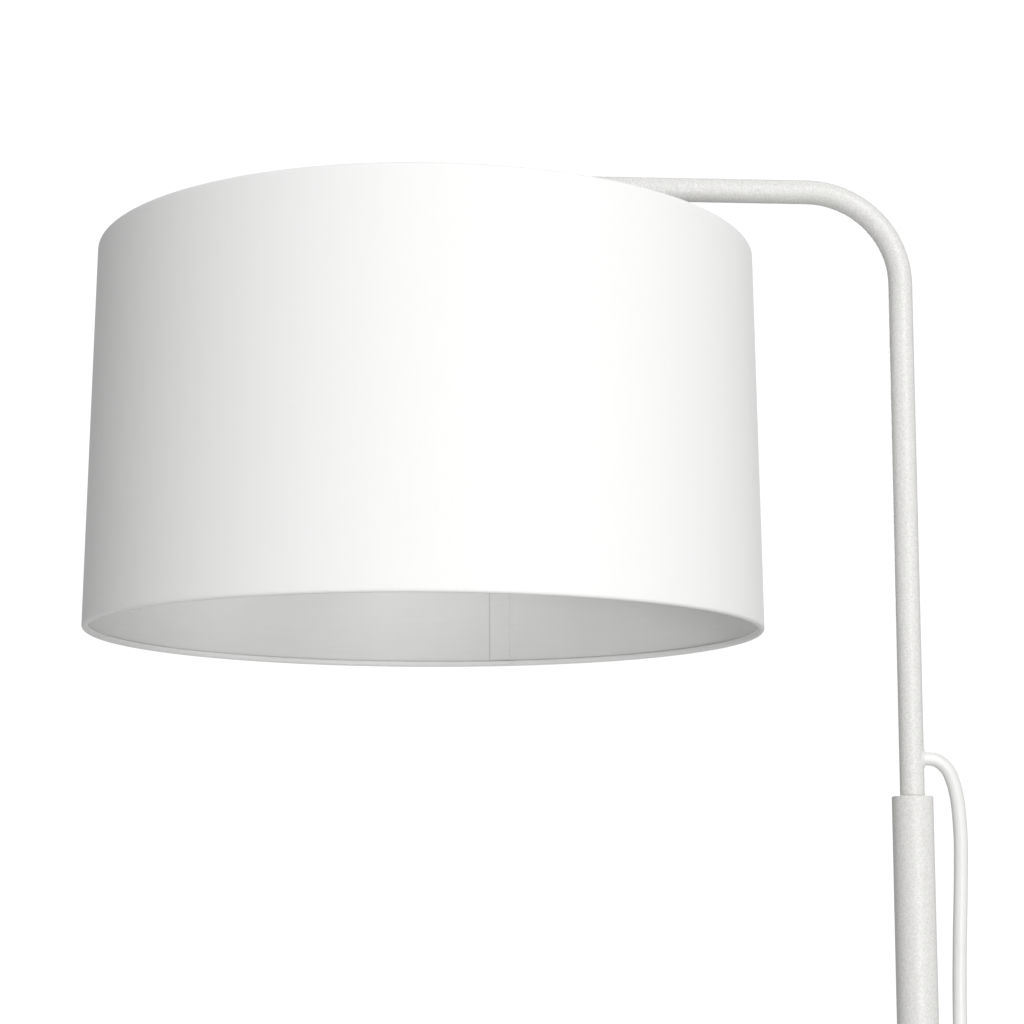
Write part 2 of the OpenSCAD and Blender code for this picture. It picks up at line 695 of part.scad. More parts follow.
// The case's outline from low, counted from the tray, set in by inset.
module case_outline(inset, low = 0) {
    translate([0, low]) square([case_r - inset, case_h - tray_z - case_shoulder - low]);
    translate([0, low]) square([case_r - case_shoulder, case_h - tray_z - inset - low]);
    translate([case_r - case_shoulder, case_h - tray_z - case_shoulder])
        circle(case_shoulder - inset);
}

module switch_cover() color("white") at_switch() difference() {
    union() {
        translate([0, 0, tray_z]) difference() {
            rotate_extrude() case_outline(0);
            rotate_extrude() case_outline(case_wall, low = -past);
        }
        intersection() {
            at_screws() translate([0, 0, tray_z]) cylinder(r = post_r, h = case_h);
            translate([0, 0, tray_z]) rotate_extrude() case_outline(0.5);
        }
    }
    cylinder(r = button_r + 0.3, h = case_h + past);
    at_screws() cylinder(r = screw_r + gap, h = switch_pad_t + screw_l + past);
    translate([0, 0, cable_z]) rotate([90, 0, 0])
        cylinder(r = cord_r + boot_step + cord_gap, h = 2 * case_r + 2 * past, center = true);
}

module switch_module() color("dimgray") at_switch() difference() {
    translate([-module_size[0] / 2, -module_size[1] / 2, tray_z]) cube(module_size);
    translate([0, 0, stem_z - button_travel - 1])
        cylinder(r = stem_r + 0.3, h = module_z);
}

module switch_button() color("gainsboro") at_switch() union() {
    translate([0, 0, flange_z - flange_t]) cylinder(r = flange_r, h = flange_t);
    translate([0, 0, flange_z - flange_t]) cylinder(r = button_r, h = button_rise);
    translate([0, 0, flange_z - flange_t + button_rise])
        cylinder(r1 = button_r, r2 = button_r - button_edge, h = button_edge);
    translate([0, 0, stem_z]) cylinder(r = stem_r, h = flange_z - flange_t - stem_z);
}

module switch_spring() color("silver") at_switch() {
    low = module_z + spring_wire_r;
    high = flange_z - flange_t - spring_wire_r;
    steps = spring_turns * 16;
    sweep([for (i = [0:steps]) let (turn = 360 * spring_turns * i / steps)
        [spring_r * cos(turn), spring_r * sin(turn), low + (high - low) * i / steps]],
        spring_wire_r, n = 6, first = [0, 0, 1]);
}

module switch_screws() color("silver") at_switch() at_screws() union() {
    translate([0, 0, switch_pad_t]) cylinder(r = screw_head_r, h = screw_head_t);
    translate([0, 0, switch_pad_t]) cylinder(r = screw_r, h = screw_l);
}

// A tapered boot on the case's side, along +Y from the wall's inner face.
module cord_boot() rotate([-90, 0, 0]) difference() {
    union() {
        translate([0, 0, case_r - case_wall - 1])
            cylinder(r = cord_r + boot_step, h = case_wall + 2);
        translate([0, 0, case_r])
            cylinder(r1 = cord_r + boot_step + 1, r2 = cord_r + 1, h = boot_l);
    }
    translate([0, 0, case_r - 10]) cylinder(r = cord_r + cord_gap, h = boot_l + 20);
}

module switch_inlet_boot() color("gainsboro") at_switch() translate([0, 0, cable_z])
    rotate(180) cord_boot();

module switch_outlet_boot() color("gainsboro") at_switch() translate([0, 0, cable_z])
    cord_boot();

// ---- plug ----

// Moves a piece built along +Z to the plug, which points along -X.
module at_plug() translate([plug_at[0], plug_at[1], plug_z]) rotate([0, -90, 0]) children();

module plug_body() color("white") at_plug() translate([0, 0, plug_boot_l]) difference() {
    union() {
        cylinder(r1 = plug_r - 6, r2 = plug_r, h = plug_shoulder);
        translate([0, 0, plug_shoulder]) cylinder(r = plug_r, h = plug_body_l - plug_shoulder);
    }
    translate([0, 0, -past]) cylinder(r = cord_r + cord_gap, h = plug_grip + past);
    for (side = [-1, 1]) {
        translate([0, side * pin_pitch / 2, plug_body_l - pin_seat])
            cylinder(r = shank_r + gap, h = pin_seat + past);
        translate([side * (plug_r + clip_slot[0] / 2 - clip_depth) - clip_slot[0] / 2,
            -clip_slot[1] / 2, plug_body_l - clip_size[2] - 4]) cube(clip_slot);
    }
    translate([earth_hole_at, 0, plug_body_l - pin_seat])
        cylinder(r = earth_hole_r, h = pin_seat + past);
}

module plug_boot() color("white") at_plug() difference() {
    cylinder(r1 = cord_r + 1.2, r2 = cord_r + 4, h = plug_boot_l);
    translate([0, 0, -past]) cylinder(r = cord_r + cord_gap, h = plug_boot_l + 2 * past);
}

module plug_pins() color("silver") at_plug() for (side = [-1, 1])
    translate([0, side * pin_pitch / 2, plug_boot_l + plug_body_l]) union() {
        translate([0, 0, -pin_seat]) cylinder(r = shank_r, h = pin_seat);
        cylinder(r = pin_r, h = pin_l - pin_point);
        translate([0, 0, pin_l - pin_point])
            cylinder(r1 = pin_r, r2 = pin_r - 0.8, h = pin_point);
    }

module plug_earth_clips() color("gold") at_plug() for (side = [-1, 1])
    translate([side * (plug_r - clip_depth + clip_size[0] / 2 + slit) - clip_size[0] / 2,
        -clip_size[1] / 2, plug_boot_l + plug_body_l - clip_size[2] - 2]) cube(clip_size);

// ---- what is drawn ----

base_pad();
base_plate();
base_screw();
pole_foot_plug();
lower_pole();
lower_joint_plug();
joint_stud();
upper_joint_plug();
upper_pole();
lower_swivel_bush();
upper_swivel_bush();
arm_tube();
arm_foot();
cord_grommet();
cord_entry();
live_wire();
neutral_wire();
earth_wire();
holder_nipple();
earth_tag();
lock_nut();
holder_dome();
holder_skirt();
holder_insert();
screw_shell();
centre_contact();
shade_ring();
fitter_ring();
shade_spokes();
shade_top_wire();
shade_bottom_wire();
shade_fabric();
shade_backing();
shade_seam();
bulb_globe();
bulb_housing();
bulb_cap();
bulb_insulator();
bulb_tip();
cord_drop();
cord_link();
cord_coil();
cord_tail();
coil_tie();
switch_pad();
switch_base();
switch_cover();
switch_module();
switch_button();
switch_spring();
switch_screws();
switch_inlet_boot();
switch_outlet_boot();
plug_body();
plug_boot();
plug_pins();
plug_earth_clips();
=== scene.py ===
"""The arc floor lamp's looks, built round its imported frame. Metres, +Z up, the arm along -X."""
import logging
import math
from dataclasses import dataclass
from enum import Enum
from typing import Callable

import bmesh
import bpy
from mathutils import Matrix, Vector


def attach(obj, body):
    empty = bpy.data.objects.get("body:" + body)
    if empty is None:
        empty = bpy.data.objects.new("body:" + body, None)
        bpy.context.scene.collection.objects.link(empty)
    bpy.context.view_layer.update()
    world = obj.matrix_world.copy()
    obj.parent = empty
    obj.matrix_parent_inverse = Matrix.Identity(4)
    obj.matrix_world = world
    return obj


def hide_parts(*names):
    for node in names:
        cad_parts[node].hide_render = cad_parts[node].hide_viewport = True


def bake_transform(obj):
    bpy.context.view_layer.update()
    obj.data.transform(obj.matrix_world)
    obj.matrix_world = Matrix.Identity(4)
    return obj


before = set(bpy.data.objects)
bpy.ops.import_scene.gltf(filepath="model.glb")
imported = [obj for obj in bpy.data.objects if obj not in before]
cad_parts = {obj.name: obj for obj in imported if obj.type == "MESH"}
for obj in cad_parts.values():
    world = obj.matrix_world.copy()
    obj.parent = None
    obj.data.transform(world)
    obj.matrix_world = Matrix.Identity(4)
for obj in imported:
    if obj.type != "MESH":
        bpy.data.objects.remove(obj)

MM = 0.001
FULL_TURN = 2 * math.pi
SMOOTH_ANGLE = math.radians(32)
SHADE_AXIS = (-0.254, 0.0)
CORD_EXIT_MM = 1189.65
SWITCH_AT_MM = (150.0, 125.0)
Piece = bpy.types.Object
Socket = bpy.types.NodeSocket
Pair = tuple[float, float]
Triple = tuple[float, float, float]
Outline = list[Pair]
log = logging.getLogger("arc_floor_lamp")


class Body(Enum):
    """The lamp's bodies, each of which moves as one."""

    STAND = "stand"
    ARM = "arm"
    BULB = "bulb"
    BUTTON = "button"


class Pattern(Enum):
    """The kinds of fine relief that a finish can have."""

    GRAIN = "fine grain of a moulding"
    PEEL = "orange peel of a powder coat"
    BRUSHED = "lines along the height"
    CELLS = "cells of a foam or rubber"
    WEAVE = "crossed threads"
    SLUB = "long level fibres"


# ---- finishes ----


class Desk:
    """Short ways to add and join the nodes of one material."""

    def __init__(self, name: str) -> None:
        """Starts a material of that name."""
        self.material = bpy.data.materials.new(name)
        self.material.use_nodes = True
        self.tree = self.material.node_tree
        self.surface = self.tree.nodes["Principled BSDF"]

    def add(self, kind: str, **settings: object) -> bpy.types.Node:
        """Adds a node and sets its properties.

        Args:
            kind: The node's type.
            settings: Properties of the node by name.

        Returns:
            The new node.
        """
        node = self.tree.nodes.new(kind)
        for key, value in settings.items():
            setattr(node, key, value)
        return node

    def join(self, source: Socket, target: Socket) -> None:
        """Joins an output to an input."""
        self.tree.links.new(source, target)

    def spot(self, space: str, scale: Triple) -> Socket:
        """Gives a point on the surface, scaled.

        Args:
            space: "Object" or "UV".
            scale: How many units the pattern has to a metre, along each axis.

        Returns:
            The scaled point.
        """
        place = self.add("ShaderNodeTexCoord")
        mapping = self.add("ShaderNodeMapping")
        mapping.inputs["Scale"].default_value = scale
        self.join(place.outputs[space], mapping.inputs["Vector"])
        return mapping.outputs["Vector"]

    def noise(self, point: Socket, detail: float = 3.0) -> Socket:
        """Gives soft noise from 0 to 1 at a point that is already scaled."""
        texture = self.add("ShaderNodeTexNoise")
        texture.inputs["Scale"].default_value = 1.0
        texture.inputs["Detail"].default_value = detail
        self.join(point, texture.inputs["Vector"])
        return texture.outputs["Fac"]

    def threads(self, period: float, direction: str) -> Socket:
        """Gives parallel threads across the piece's own map.

        Args:
            period: The distance between threads in metres.
            direction: "X" for upright threads and "Y" for level ones.

        Returns:
            The threads' height from 0 to 1.
        """
        wave = self.add("ShaderNodeTexWave", bands_direction=direction)
        wave.inputs["Scale"].default_value = math.pi / 10 / period
        wave.inputs["Distortion"].default_value = 0.6
        wave.inputs["Detail Scale"].default_value = 0.5
        self.join(self.spot("UV", (1, 1, 1)), wave.inputs["Vector"])
        return wave.outputs["Fac"]

    def both(self, first: Socket, second: Socket) -> Socket:
        """Gives the mean of two heights."""
        half = self.add("ShaderNodeMix", data_type="FLOAT")
        half.inputs["Factor"].default_value = 0.5
        self.join(first, half.inputs["A"])
        self.join(second, half.inputs["B"])
        return half.outputs["Result"]

    def spread(self, value: Socket, low: float, high: float) -> Socket:
        """Spreads noise, which keeps near its middle, between two values."""
        ramp = self.add("ShaderNodeMapRange")
        ramp.inputs["From Min"].default_value = 0.3
        ramp.inputs["From Max"].default_value = 0.7
        ramp.inputs["To Min"].default_value = low
        ramp.inputs["To Max"].default_value = high
        self.join(value, ramp.inputs["Value"])
        return ramp.outputs["Result"]


@dataclass(frozen=True)
class Finish:
    """One surface finish: its colours, its gloss, its fine relief, and the record's slot for it."""

    name: str
    colour: Triple
    second: Triple
    rough: Pair
    pattern: Pattern = Pattern.GRAIN
    grain: float = 0.0009
    depth: float = 0.00001
    patch: float = 0.02
    strength: float = 0.4
    metallic: float = 0.0
    coat: float = 0.0
    sheen: float = 0.0
    scatter: float = 0.0
    specular: float = 0.5
    slot: str = ""

    def material(self) -> bpy.types.Material:
        """Gives this finish's material, made at its first use."""
        found = bpy.data.materials.get(self.name)
        return found or self._made()

    def _made(self) -> bpy.types.Material:
        """Builds the material's nodes."""
        desk = Desk(self.name)
        surface = desk.surface
        surface.inputs["Metallic"].default_value = self.metallic
        surface.inputs["Specular IOR Level"].default_value = self.specular
        surface.inputs["Coat Weight"].default_value = self.coat
        surface.inputs["Coat Roughness"].default_value = 0.25
        surface.inputs["Sheen Weight"].default_value = self.sheen
        surface.inputs["Sheen Roughness"].default_value = 0.5
        surface.inputs["Subsurface Weight"].default_value = self.scatter
        surface.inputs["Subsurface Scale"].default_value = 2 * MM
        fine, broad = self._heights(desk)
        blend = desk.add("ShaderNodeMix", data_type="RGBA")
        colours = [s for s in blend.inputs if s.type == "RGBA"]
        colours[0].default_value = (*self.colour, 1)
        colours[1].default_value = (*self.second, 1)
        desk.join(desk.spread(broad, 0, 1), blend.inputs["Factor"])
        result = next(s for s in blend.outputs if s.type == "RGBA")
        desk.join(result, surface.inputs["Base Color"])
        desk.join(desk.spread(fine, *self.rough), surface.inputs["Roughness"])
        bump = desk.add("ShaderNodeBump")
        bump.inputs["Strength"].default_value = self.strength
        bump.inputs["Distance"].default_value = self.depth
        desk.join(fine, bump.inputs["Height"])
        desk.join(bump.outputs["Normal"], surface.inputs["Normal"])
        return desk.material

    def _heights(self, desk: Desk) -> tuple[Socket, Socket]:
        """Gives the relief's height and the broad patches of colour, each from 0 to 1."""
        fine = 1 / self.grain
        broad = 1 / self.patch
        level = desk.spot("Object", (broad, broad, broad))
        if self.pattern is Pattern.BRUSHED:
            return desk.noise(desk.spot("Object", (fine, fine, fine / 40))), desk.noise(level)
        if self.pattern is Pattern.CELLS:
            cells = desk.add("ShaderNodeTexVoronoi", feature="SMOOTH_F1")
            cells.inputs["Scale"].default_value = 1.0
            desk.join(desk.spot("Object", (fine, fine, fine)), cells.inputs["Vector"])
            return cells.outputs["Distance"], desk.noise(level)
        if self.pattern is Pattern.PEEL:
            speckle = desk.noise(desk.spot("Object", (fine, fine, fine)), 1.5)
            return speckle, desk.both(speckle, desk.noise(level))
        if self.pattern is Pattern.WEAVE:
            crossed = desk.both(desk.threads(self.grain, "X"), desk.threads(self.grain, "Y"))
            slub = desk.noise(desk.spot("UV", (broad / 6, broad * 4, 1)), 4.0)
            upright = desk.noise(desk.spot("UV", (broad * 4, broad / 6, 1)), 4.0)
            return desk.both(crossed, desk.both(slub, upright)), desk.both(slub, upright)
        if self.pattern is Pattern.SLUB:
            fibres = desk.noise(desk.spot("UV", (fine / 45, fine, 1)), 4.0)
            return fibres, desk.both(fibres, desk.noise(desk.spot("UV", (broad, broad, 1))))
        return desk.noise(desk.spot("Object", (fine, fine, fine))), desk.noise(level)


POWDER_COAT = Finish("powder_coat_white", (0.86, 0.855, 0.84), (0.64, 0.635, 0.62), (0.34, 0.5),
                     Pattern.PEEL, grain=0.0008, depth=0.00016, patch=0.0012, strength=0.8,
                     slot="white_powder_coat")
FABRIC = Finish("shade_cloth_white", (0.885, 0.885, 0.88), (0.87, 0.87, 0.865), (0.82, 0.95),
                Pattern.WEAVE, grain=0.00038, depth=0.00002, patch=0.004, strength=0.35, sheen=0.1,
                slot="shade_fabric")
LINING = Finish("shade_lining_white", (0.8, 0.8, 0.795), (0.765, 0.765, 0.76), (0.6, 0.75),
                Pattern.SLUB, grain=0.0011, depth=0.00003, patch=0.03, strength=0.3,
                slot="shade_lining")
THREAD = Finish("seam_thread", (0.74, 0.74, 0.73), (0.66, 0.66, 0.65), (0.7, 0.9),
                grain=0.0003, depth=0.00004, slot="shade_lining")
# Darker grey for the seam strip's cut edge: partly the edge's own tone, partly painted shade
# standing in for the shadow of the lapped edge.
CUT_EDGE_AND_SHADE = Finish("lining_cut_edge_and_painted_shade", (0.66, 0.66, 0.65), (0.6, 0.6, 0.59), (0.6, 0.8),
                  grain=0.0004, depth=0.00002)
CORD = Finish("cord_pvc_white", (0.83, 0.83, 0.82), (0.8, 0.8, 0.785), (0.33, 0.42),
              grain=0.0012, depth=0.000015, patch=0.03, coat=0.08, slot="cord_white")
BOOT = Finish("boot_pvc_white", (0.85, 0.85, 0.84), (0.8, 0.8, 0.785), (0.42, 0.55),
              grain=0.0006, depth=0.00002, patch=0.01, slot="boot_white")
SWITCH_WHITE = Finish("switch_case_white", (0.84, 0.84, 0.83), (0.8, 0.8, 0.79), (0.36, 0.48),
                      grain=0.0005, depth=0.00002, patch=0.02, coat=0.05, slot="switch_white")
SWITCH_GREY = Finish("switch_button_grey", (0.55, 0.56, 0.57), (0.48, 0.49, 0.5), (0.4, 0.52),
                     grain=0.0005, depth=0.00003, patch=0.008, slot="switch_grey")
HOLDER = Finish("holder_thermoset_white", (0.83, 0.83, 0.815), (0.78, 0.78, 0.765), (0.28, 0.38),
                grain=0.0007, depth=0.00001, patch=0.015, coat=0.15, slot="holder_white")
RUBBER = Finish("pad_foam_black", (0.035, 0.035, 0.037), (0.06, 0.06, 0.062), (0.75, 0.92),
                Pattern.CELLS, grain=0.0012, depth=0.0002, patch=0.02, strength=0.7,
                slot="base_rubber")
ZINC = Finish("zinc_plate", (0.62, 0.64, 0.66), (0.5, 0.52, 0.55), (0.28, 0.42),
              Pattern.BRUSHED, grain=0.0004, depth=0.00001, metallic=1.0, slot="zinc_steel")
BRASS = Finish("brass", (0.8, 0.6, 0.3), (0.7, 0.5, 0.24), (0.22, 0.36),
               Pattern.BRUSHED, grain=0.0004, depth=0.00001, metallic=1.0)
NICKEL = Finish("nickel_plate", (0.74, 0.72, 0.69), (0.64, 0.62, 0.6), (0.18, 0.3),
                Pattern.BRUSHED, grain=0.0004, depth=0.00001, metallic=1.0, slot="nickel")
NYLON = Finish("nylon_natural", (0.78, 0.76, 0.68), (0.72, 0.7, 0.62), (0.4, 0.5),
               grain=0.0008, depth=0.00002, scatter=0.1)
CERAMIC = Finish("steatite", (0.85, 0.83, 0.77), (0.8, 0.78, 0.71), (0.3, 0.45),
                 grain=0.0008, depth=0.00002)
OPAL = Finish("opal_diffuser", (0.9, 0.9, 0.885), (0.88, 0.88, 0.865), (0.32, 0.4),
              grain=0.001, depth=0.000008, patch=0.03, coat=0.2, scatter=0.15, slot="bulb_opal")
BULB_SHELL = Finish("bulb_shell_white", (0.84, 0.84, 0.83), (0.8, 0.8, 0.79), (0.36, 0.46),
                    grain=0.0006, depth=0.00001, slot="bulb_body")
BLACK_GLASS = Finish("black_glass", (0.012, 0.012, 0.014), (0.03, 0.03, 0.033), (0.08, 0.16),
                     grain=0.001, depth=0.00001)
TIE = Finish("tie_webbing_white", (0.8, 0.8, 0.79), (0.7, 0.7, 0.69), (0.7, 0.9),
             Pattern.CELLS, grain=0.0007, depth=0.0002, patch=0.004, strength=0.8, sheen=0.2,
             slot="tie_white")
BROWN_WIRE = Finish("wire_brown", (0.19, 0.08, 0.035), (0.15, 0.06, 0.028), (0.35, 0.45))
BLUE_WIRE = Finish("wire_blue", (0.06, 0.2, 0.48), (0.045, 0.16, 0.4), (0.35, 0.45))
EARTH_WIRE = Finish("wire_green_yellow", (0.12, 0.36, 0.08), (0.75, 0.66, 0.08), (0.35, 0.45),
                    patch=0.004)

CARRIED = {
    ZINC: ("base_screw", "pole_foot_plug", "lower_joint_plug", "joint_stud", "upper_joint_plug",
           "holder_nipple", "lock_nut", "switch_screws"),
    NYLON: ("lower_swivel_bush", "upper_swivel_bush", "arm_foot"),
    CORD: ("cord_entry",),
    BROWN_WIRE: ("live_wire",),
    BLUE_WIRE: ("neutral_wire",),
    EARTH_WIRE: ("earth_wire",),
    BRASS: ("earth_tag", "screw_shell", "centre_contact", "plug_earth_clips"),
    CERAMIC: ("holder_insert",),
    BLACK_GLASS: ("bulb_insulator",),
    NICKEL: ("bulb_tip", "plug_pins"),
    SWITCH_WHITE: ("switch_base",),
    SWITCH_GREY: ("switch_module",),
    RUBBER: ("switch_pad",),
}


# ---- mesh making ----


def turns_of(count: int) -> list[float]:
    """Gives evenly spaced angles all the way round."""
    return [FULL_TURN * i / count for i in range(count)]


def between(first: float, last: float, count: int) -> list[float]:
    """Gives evenly spaced values from one to another, both included."""
    return [first + (last - first) * i / count for i in range(count + 1)]


def about(axis: Pair, radius: float, angle: float, height: float) -> Vector:
    """Gives the point at an angle about an upright axis."""
    return Vector((axis[0] + radius * math.cos(angle), axis[1] + radius * math.sin(angle), height))


def bridge(bm: bmesh.types.BMesh, rings: list[list[bmesh.types.BMVert]]) -> None:
    """Joins each ring of points to the next one, and the last to the first."""
    for k, ring in enumerate(rings):
        other = rings[(k + 1) % len(rings)]
        for i, point in enumerate(ring):
            j = (i + 1) % len(ring)
            bm.faces.new((point, ring[j], other[j], other[i]))


def rounded(corners: list[Triple], steps: int = 6, hold: float = 0.3) -> Outline:
    """Rounds the corners of a closed outline, with a point just before and after each rounding.

    Args:
        corners: Radius, height and size of the rounding at each corner, in millimetres.
        steps: How many straight steps a rounding has.
        hold: Distance of the points that keep the long faces flat, in millimetres.

    Returns:
        Radius and height of each point, in metres.
    """
    made: Outline = []
    count = len(corners)
    for i, (x, z, size) in enumerate(corners):
        here = Vector((x, z))
        if size <= 0:
            made.append((x * MM, z * MM))
            continue
        back = Vector(corners[i - 1][:2]) - here
        ahead = Vector(corners[(i + 1) % count][:2]) - here
        first = here + back.normalized() * size
        last = here + ahead.normalized() * size
        if back.length > size + 3 * hold:
            made.append(tuple((here + back.normalized() * (size + hold)) * MM))
        for k in range(steps + 1):
            s = k / steps
            p = first * (1 - s) ** 2 + here * 2 * s * (1 - s) + last * s ** 2
            made.append(tuple(p * MM))
        if ahead.length > size + 3 * hold:
            made.append(tuple((here + ahead.normalized() * (size + hold)) * MM))
    return made


def piece_of(name: str, bm: bmesh.types.BMesh, outward: bool = True) -> Piece:
    """Makes an object of a mesh, with smooth faces that meet sharply at its corners.

    Args:
        name: The piece's name.
        bm: The mesh, which is freed.
        outward: Whether the faces still have to be turned outwards.

    Returns:
        The new object, at the origin.
    """
    if outward:
        bmesh.ops.recalc_face_normals(bm, faces=bm.faces)
    mesh = bpy.data.meshes.new(name)
    bm.to_mesh(mesh)
    bm.free()
    return shown(name, mesh)


def shown(name: str, mesh: bpy.types.Mesh) -> Piece:
    """Puts a mesh in the scene as an object, shaded smooth between its sharp edges."""
    mesh.polygons.foreach_set("use_smooth", [True] * len(mesh.polygons))
    mesh.set_sharp_from_angle(angle=SMOOTH_ANGLE)
    piece = bpy.data.objects.new(name, mesh)
    bpy.context.scene.collection.objects.link(piece)
    return piece


def lathe(name: str, outline: Outline, centre: Pair = (0.0, 0.0), segments: int = 96,
          swell: Callable[[float], float] | None = None,
          angles: list[float] | None = None) -> Piece:
    """Turns a closed outline about an upright axis. Its map is in metres, round and along.

    Args:
        name: The piece's name.
        outline: Radius and height of each point, in metres.
        centre: Where the axis is.
        segments: How many faces go round.
        swell: What to add to the radius at an angle, if anything.
        angles: The angles of the segments, where they aren't evenly spaced.

    Returns:
        The new object.
    """
    turns = angles or turns_of(segments)
    segments = len(turns)
    bm = bmesh.new()
    uv = bm.loops.layers.uv.new("UVMap")
    rings = []
    for r, z in outline:
        on_axis = r < 1e-7
        rise = swell if swell and not on_axis else (lambda _: 0)
        rings.append([bm.verts.new(about(centre, r + rise(a), a, z))
                      for a in (turns[:1] if on_axis else turns)])
    girth = max(r for r, _ in outline)
    along = 0.0
    for k, lower in enumerate(rings):
        upper = rings[(k + 1) % len(rings)]
        step = (Vector(outline[(k + 1) % len(rings)]) - Vector(outline[k])).length
        if len(lower) == 1 and len(upper) == 1:
            continue
        for i in range(segments):
            j = (i + 1) % segments
            left = turns[i] * girth
            right = (turns[j] + (FULL_TURN if j == 0 else 0)) * girth
            spots = [(lower[i % len(lower)], left, along), (lower[j % len(lower)], right, along),
                     (upper[j % len(upper)], right, along + step),
                     (upper[i % len(upper)], left, along + step)]
            if len(lower) == 1:
                spots.pop(1)
            if len(upper) == 1:
                spots.pop(2)
            face = bm.faces.new([s[0] for s in spots])
            for loop, (_, u, v) in zip(face.loops, spots):
                loop[uv].uv = (u, v)
        along += step
    return piece_of(name, bm)


def threaded(name: str, outer: float, inner: float, low: float, high: float, pitch: float,
             depth: float, centre: Pair) -> Piece:
    """Makes a tube with a rounded thread outside, which fades out at both ends.

    Args:
        name: The piece's name.
        outer: Radius over the thread.
        inner: Radius of the bore.
        low: Height of the lower end.
        high: Height of the upper end.
        pitch: Height of one turn.
        depth: Depth of the thread.
        centre: Where the axis is.

    Returns:
        The new object.
    """
    turns = turns_of(64)
    bm = bmesh.new()
    rings = []
    for z in between(low, high, int((high - low) / pitch * 8)):
        fade = min(1.0, (z - low) / pitch, (high - z) / pitch)
        grooves = [0.5 - 0.5 * math.cos(FULL_TURN * z / pitch - a) for a in turns]
        rings.append([bm.verts.new(about(centre, outer - depth * groove * fade, a, z))
                      for a, groove in zip(turns, grooves)])
    for z in (high, low):
        rings.append([bm.verts.new(about(centre, inner, a, z)) for a in turns])
    bridge(bm, rings)
    return piece_of(name, bm)


def softened(name: str, node: str, bevel: float = 0.0) -> Piece:
    """Makes a smooth piece in the shape of a CAD node.

    Args:
        name: The piece's name.
        node: The node whose shape it takes.
        bevel: Width of its softened edges, in metres.

    Returns:
        The new object.
    """
    bm = bmesh.new()
    bm.from_mesh(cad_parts[node].data)
    bmesh.ops.remove_doubles(bm, verts=bm.verts, dist=1e-6)
    bmesh.ops.dissolve_limit(bm, angle_limit=math.radians(0.4), verts=bm.verts, edges=bm.edges)
    piece = piece_of(name, bm, outward=False)
    if bevel:
        edge = piece.modifiers.new("edge", "BEVEL")
        edge.width = bevel
        edge.segments = 2
        edge.limit_method = "ANGLE"
        edge.angle_limit = SMOOTH_ANGLE
        edge.harden_normals = True
    return piece


def moved(piece: Piece, place: Matrix) -> Piece:
    """Moves a piece's mesh, and leaves its object at the origin."""
    piece.data.transform(place)
    piece.data.update()
    return piece


def settled(piece: Piece) -> bpy.types.Mesh:
    """Gives a piece's mesh with its modifiers applied."""
    return bpy.data.meshes.new_from_object(
        piece.evaluated_get(bpy.context.evaluated_depsgraph_get()))


# ---- geometry node trees ----


class Tree:
    """A geometry node tree with named inputs, and the ways to build and run it."""

    def __init__(self, name: str, inputs: dict[str, str]) -> None:
        """Starts a tree.

        Args:
            name: The tree's name.
            inputs: Name and kind of each input after the geometry.
        """
        self.group = bpy.data.node_groups.new(name, "GeometryNodeTree")
        for key, kind in {"Geometry": "Geometry", **inputs}.items():
            self.socket(key, kind, "INPUT")
        self.socket("Geometry", "Geometry", "OUTPUT")
        self.given = self.group.nodes.new("NodeGroupInput").outputs

    def socket(self, name: str, kind: str, way: str) -> None:
        """Adds an input or an output of a kind, such as Float, to the tree."""
        self.group.interface.new_socket(name, in_out=way, socket_type="NodeSocket" + kind)

    def node(self, kind: str, wires: dict[str, Socket] | None = None,
             **settings: object) -> bpy.types.Node:
        """Adds a node.

        Args:
            kind: The node's type.
            wires: The output that feeds each of its inputs, by the input's name.
            settings: Properties of the node by name.

        Returns:
            The new node.
        """
        made = self.group.nodes.new(kind)
        for key, value in settings.items():
            setattr(made, key, value)
        for key, source in (wires or {}).items():
            self.group.links.new(source, made.inputs[key])
        return made

    def close(self, geometry: Socket) -> None:
        """Ends the tree: real geometry, smooth, in the given material."""
        real = self.node("GeometryNodeRealizeInstances", {"Geometry": geometry})
        smooth = self.node("GeometryNodeSetShadeSmooth", {"Geometry": real.outputs["Geometry"]})
        dressed = self.node("GeometryNodeSetMaterial", {
            "Geometry": smooth.outputs["Geometry"], "Material": self.given["Material"]})
        self.node("NodeGroupOutput", {"Geometry": dressed.outputs["Geometry"]})

    def run(self, name: str, source: bpy.types.Mesh, **values: object) -> Piece:
        """Runs the tree on a mesh and keeps the result as a plain mesh.

        Args:
            name: The new piece's name.
            source: The mesh that goes in.
            values: The inputs by name.

        Returns:
            The new piece.
        """
        carrier = bpy.data.objects.new(name + "_source", source)
        bpy.context.scene.collection.objects.link(carrier)
        modifier = carrier.modifiers.new("shape", "NODES")
        modifier.node_group = self.group
        sockets = {s.name: s.identifier for s in self.group.interface.items_tree
                   if s.in_out == "INPUT"}
        for key, value in values.items():
            modifier[sockets[key]] = value
        result = settled(carrier)
        bpy.data.objects.remove(carrier)
        result.name = name
        return shown(name, result)


class TubeTree(Tree):
    """A round bar or tube along a line."""

    def __init__(self) -> None:
        """Builds the tree."""
        super().__init__("tube_on_line", {"Radius": "Float", "Sides": "Int", "Ends": "Bool",
                                          "Material": "Material"})
        line = self.node("GeometryNodeMeshToCurve", {"Mesh": self.given["Geometry"]})
        ring = self.node("GeometryNodeCurvePrimitiveCircle", {
            "Radius": self.given["Radius"], "Resolution": self.given["Sides"]})
        bar = self.node("GeometryNodeCurveToMesh", {
            "Curve": line.outputs["Curve"], "Profile Curve": ring.outputs["Curve"],
            "Fill Caps": self.given["Ends"]})
        self.close(bar.outputs["Mesh"])


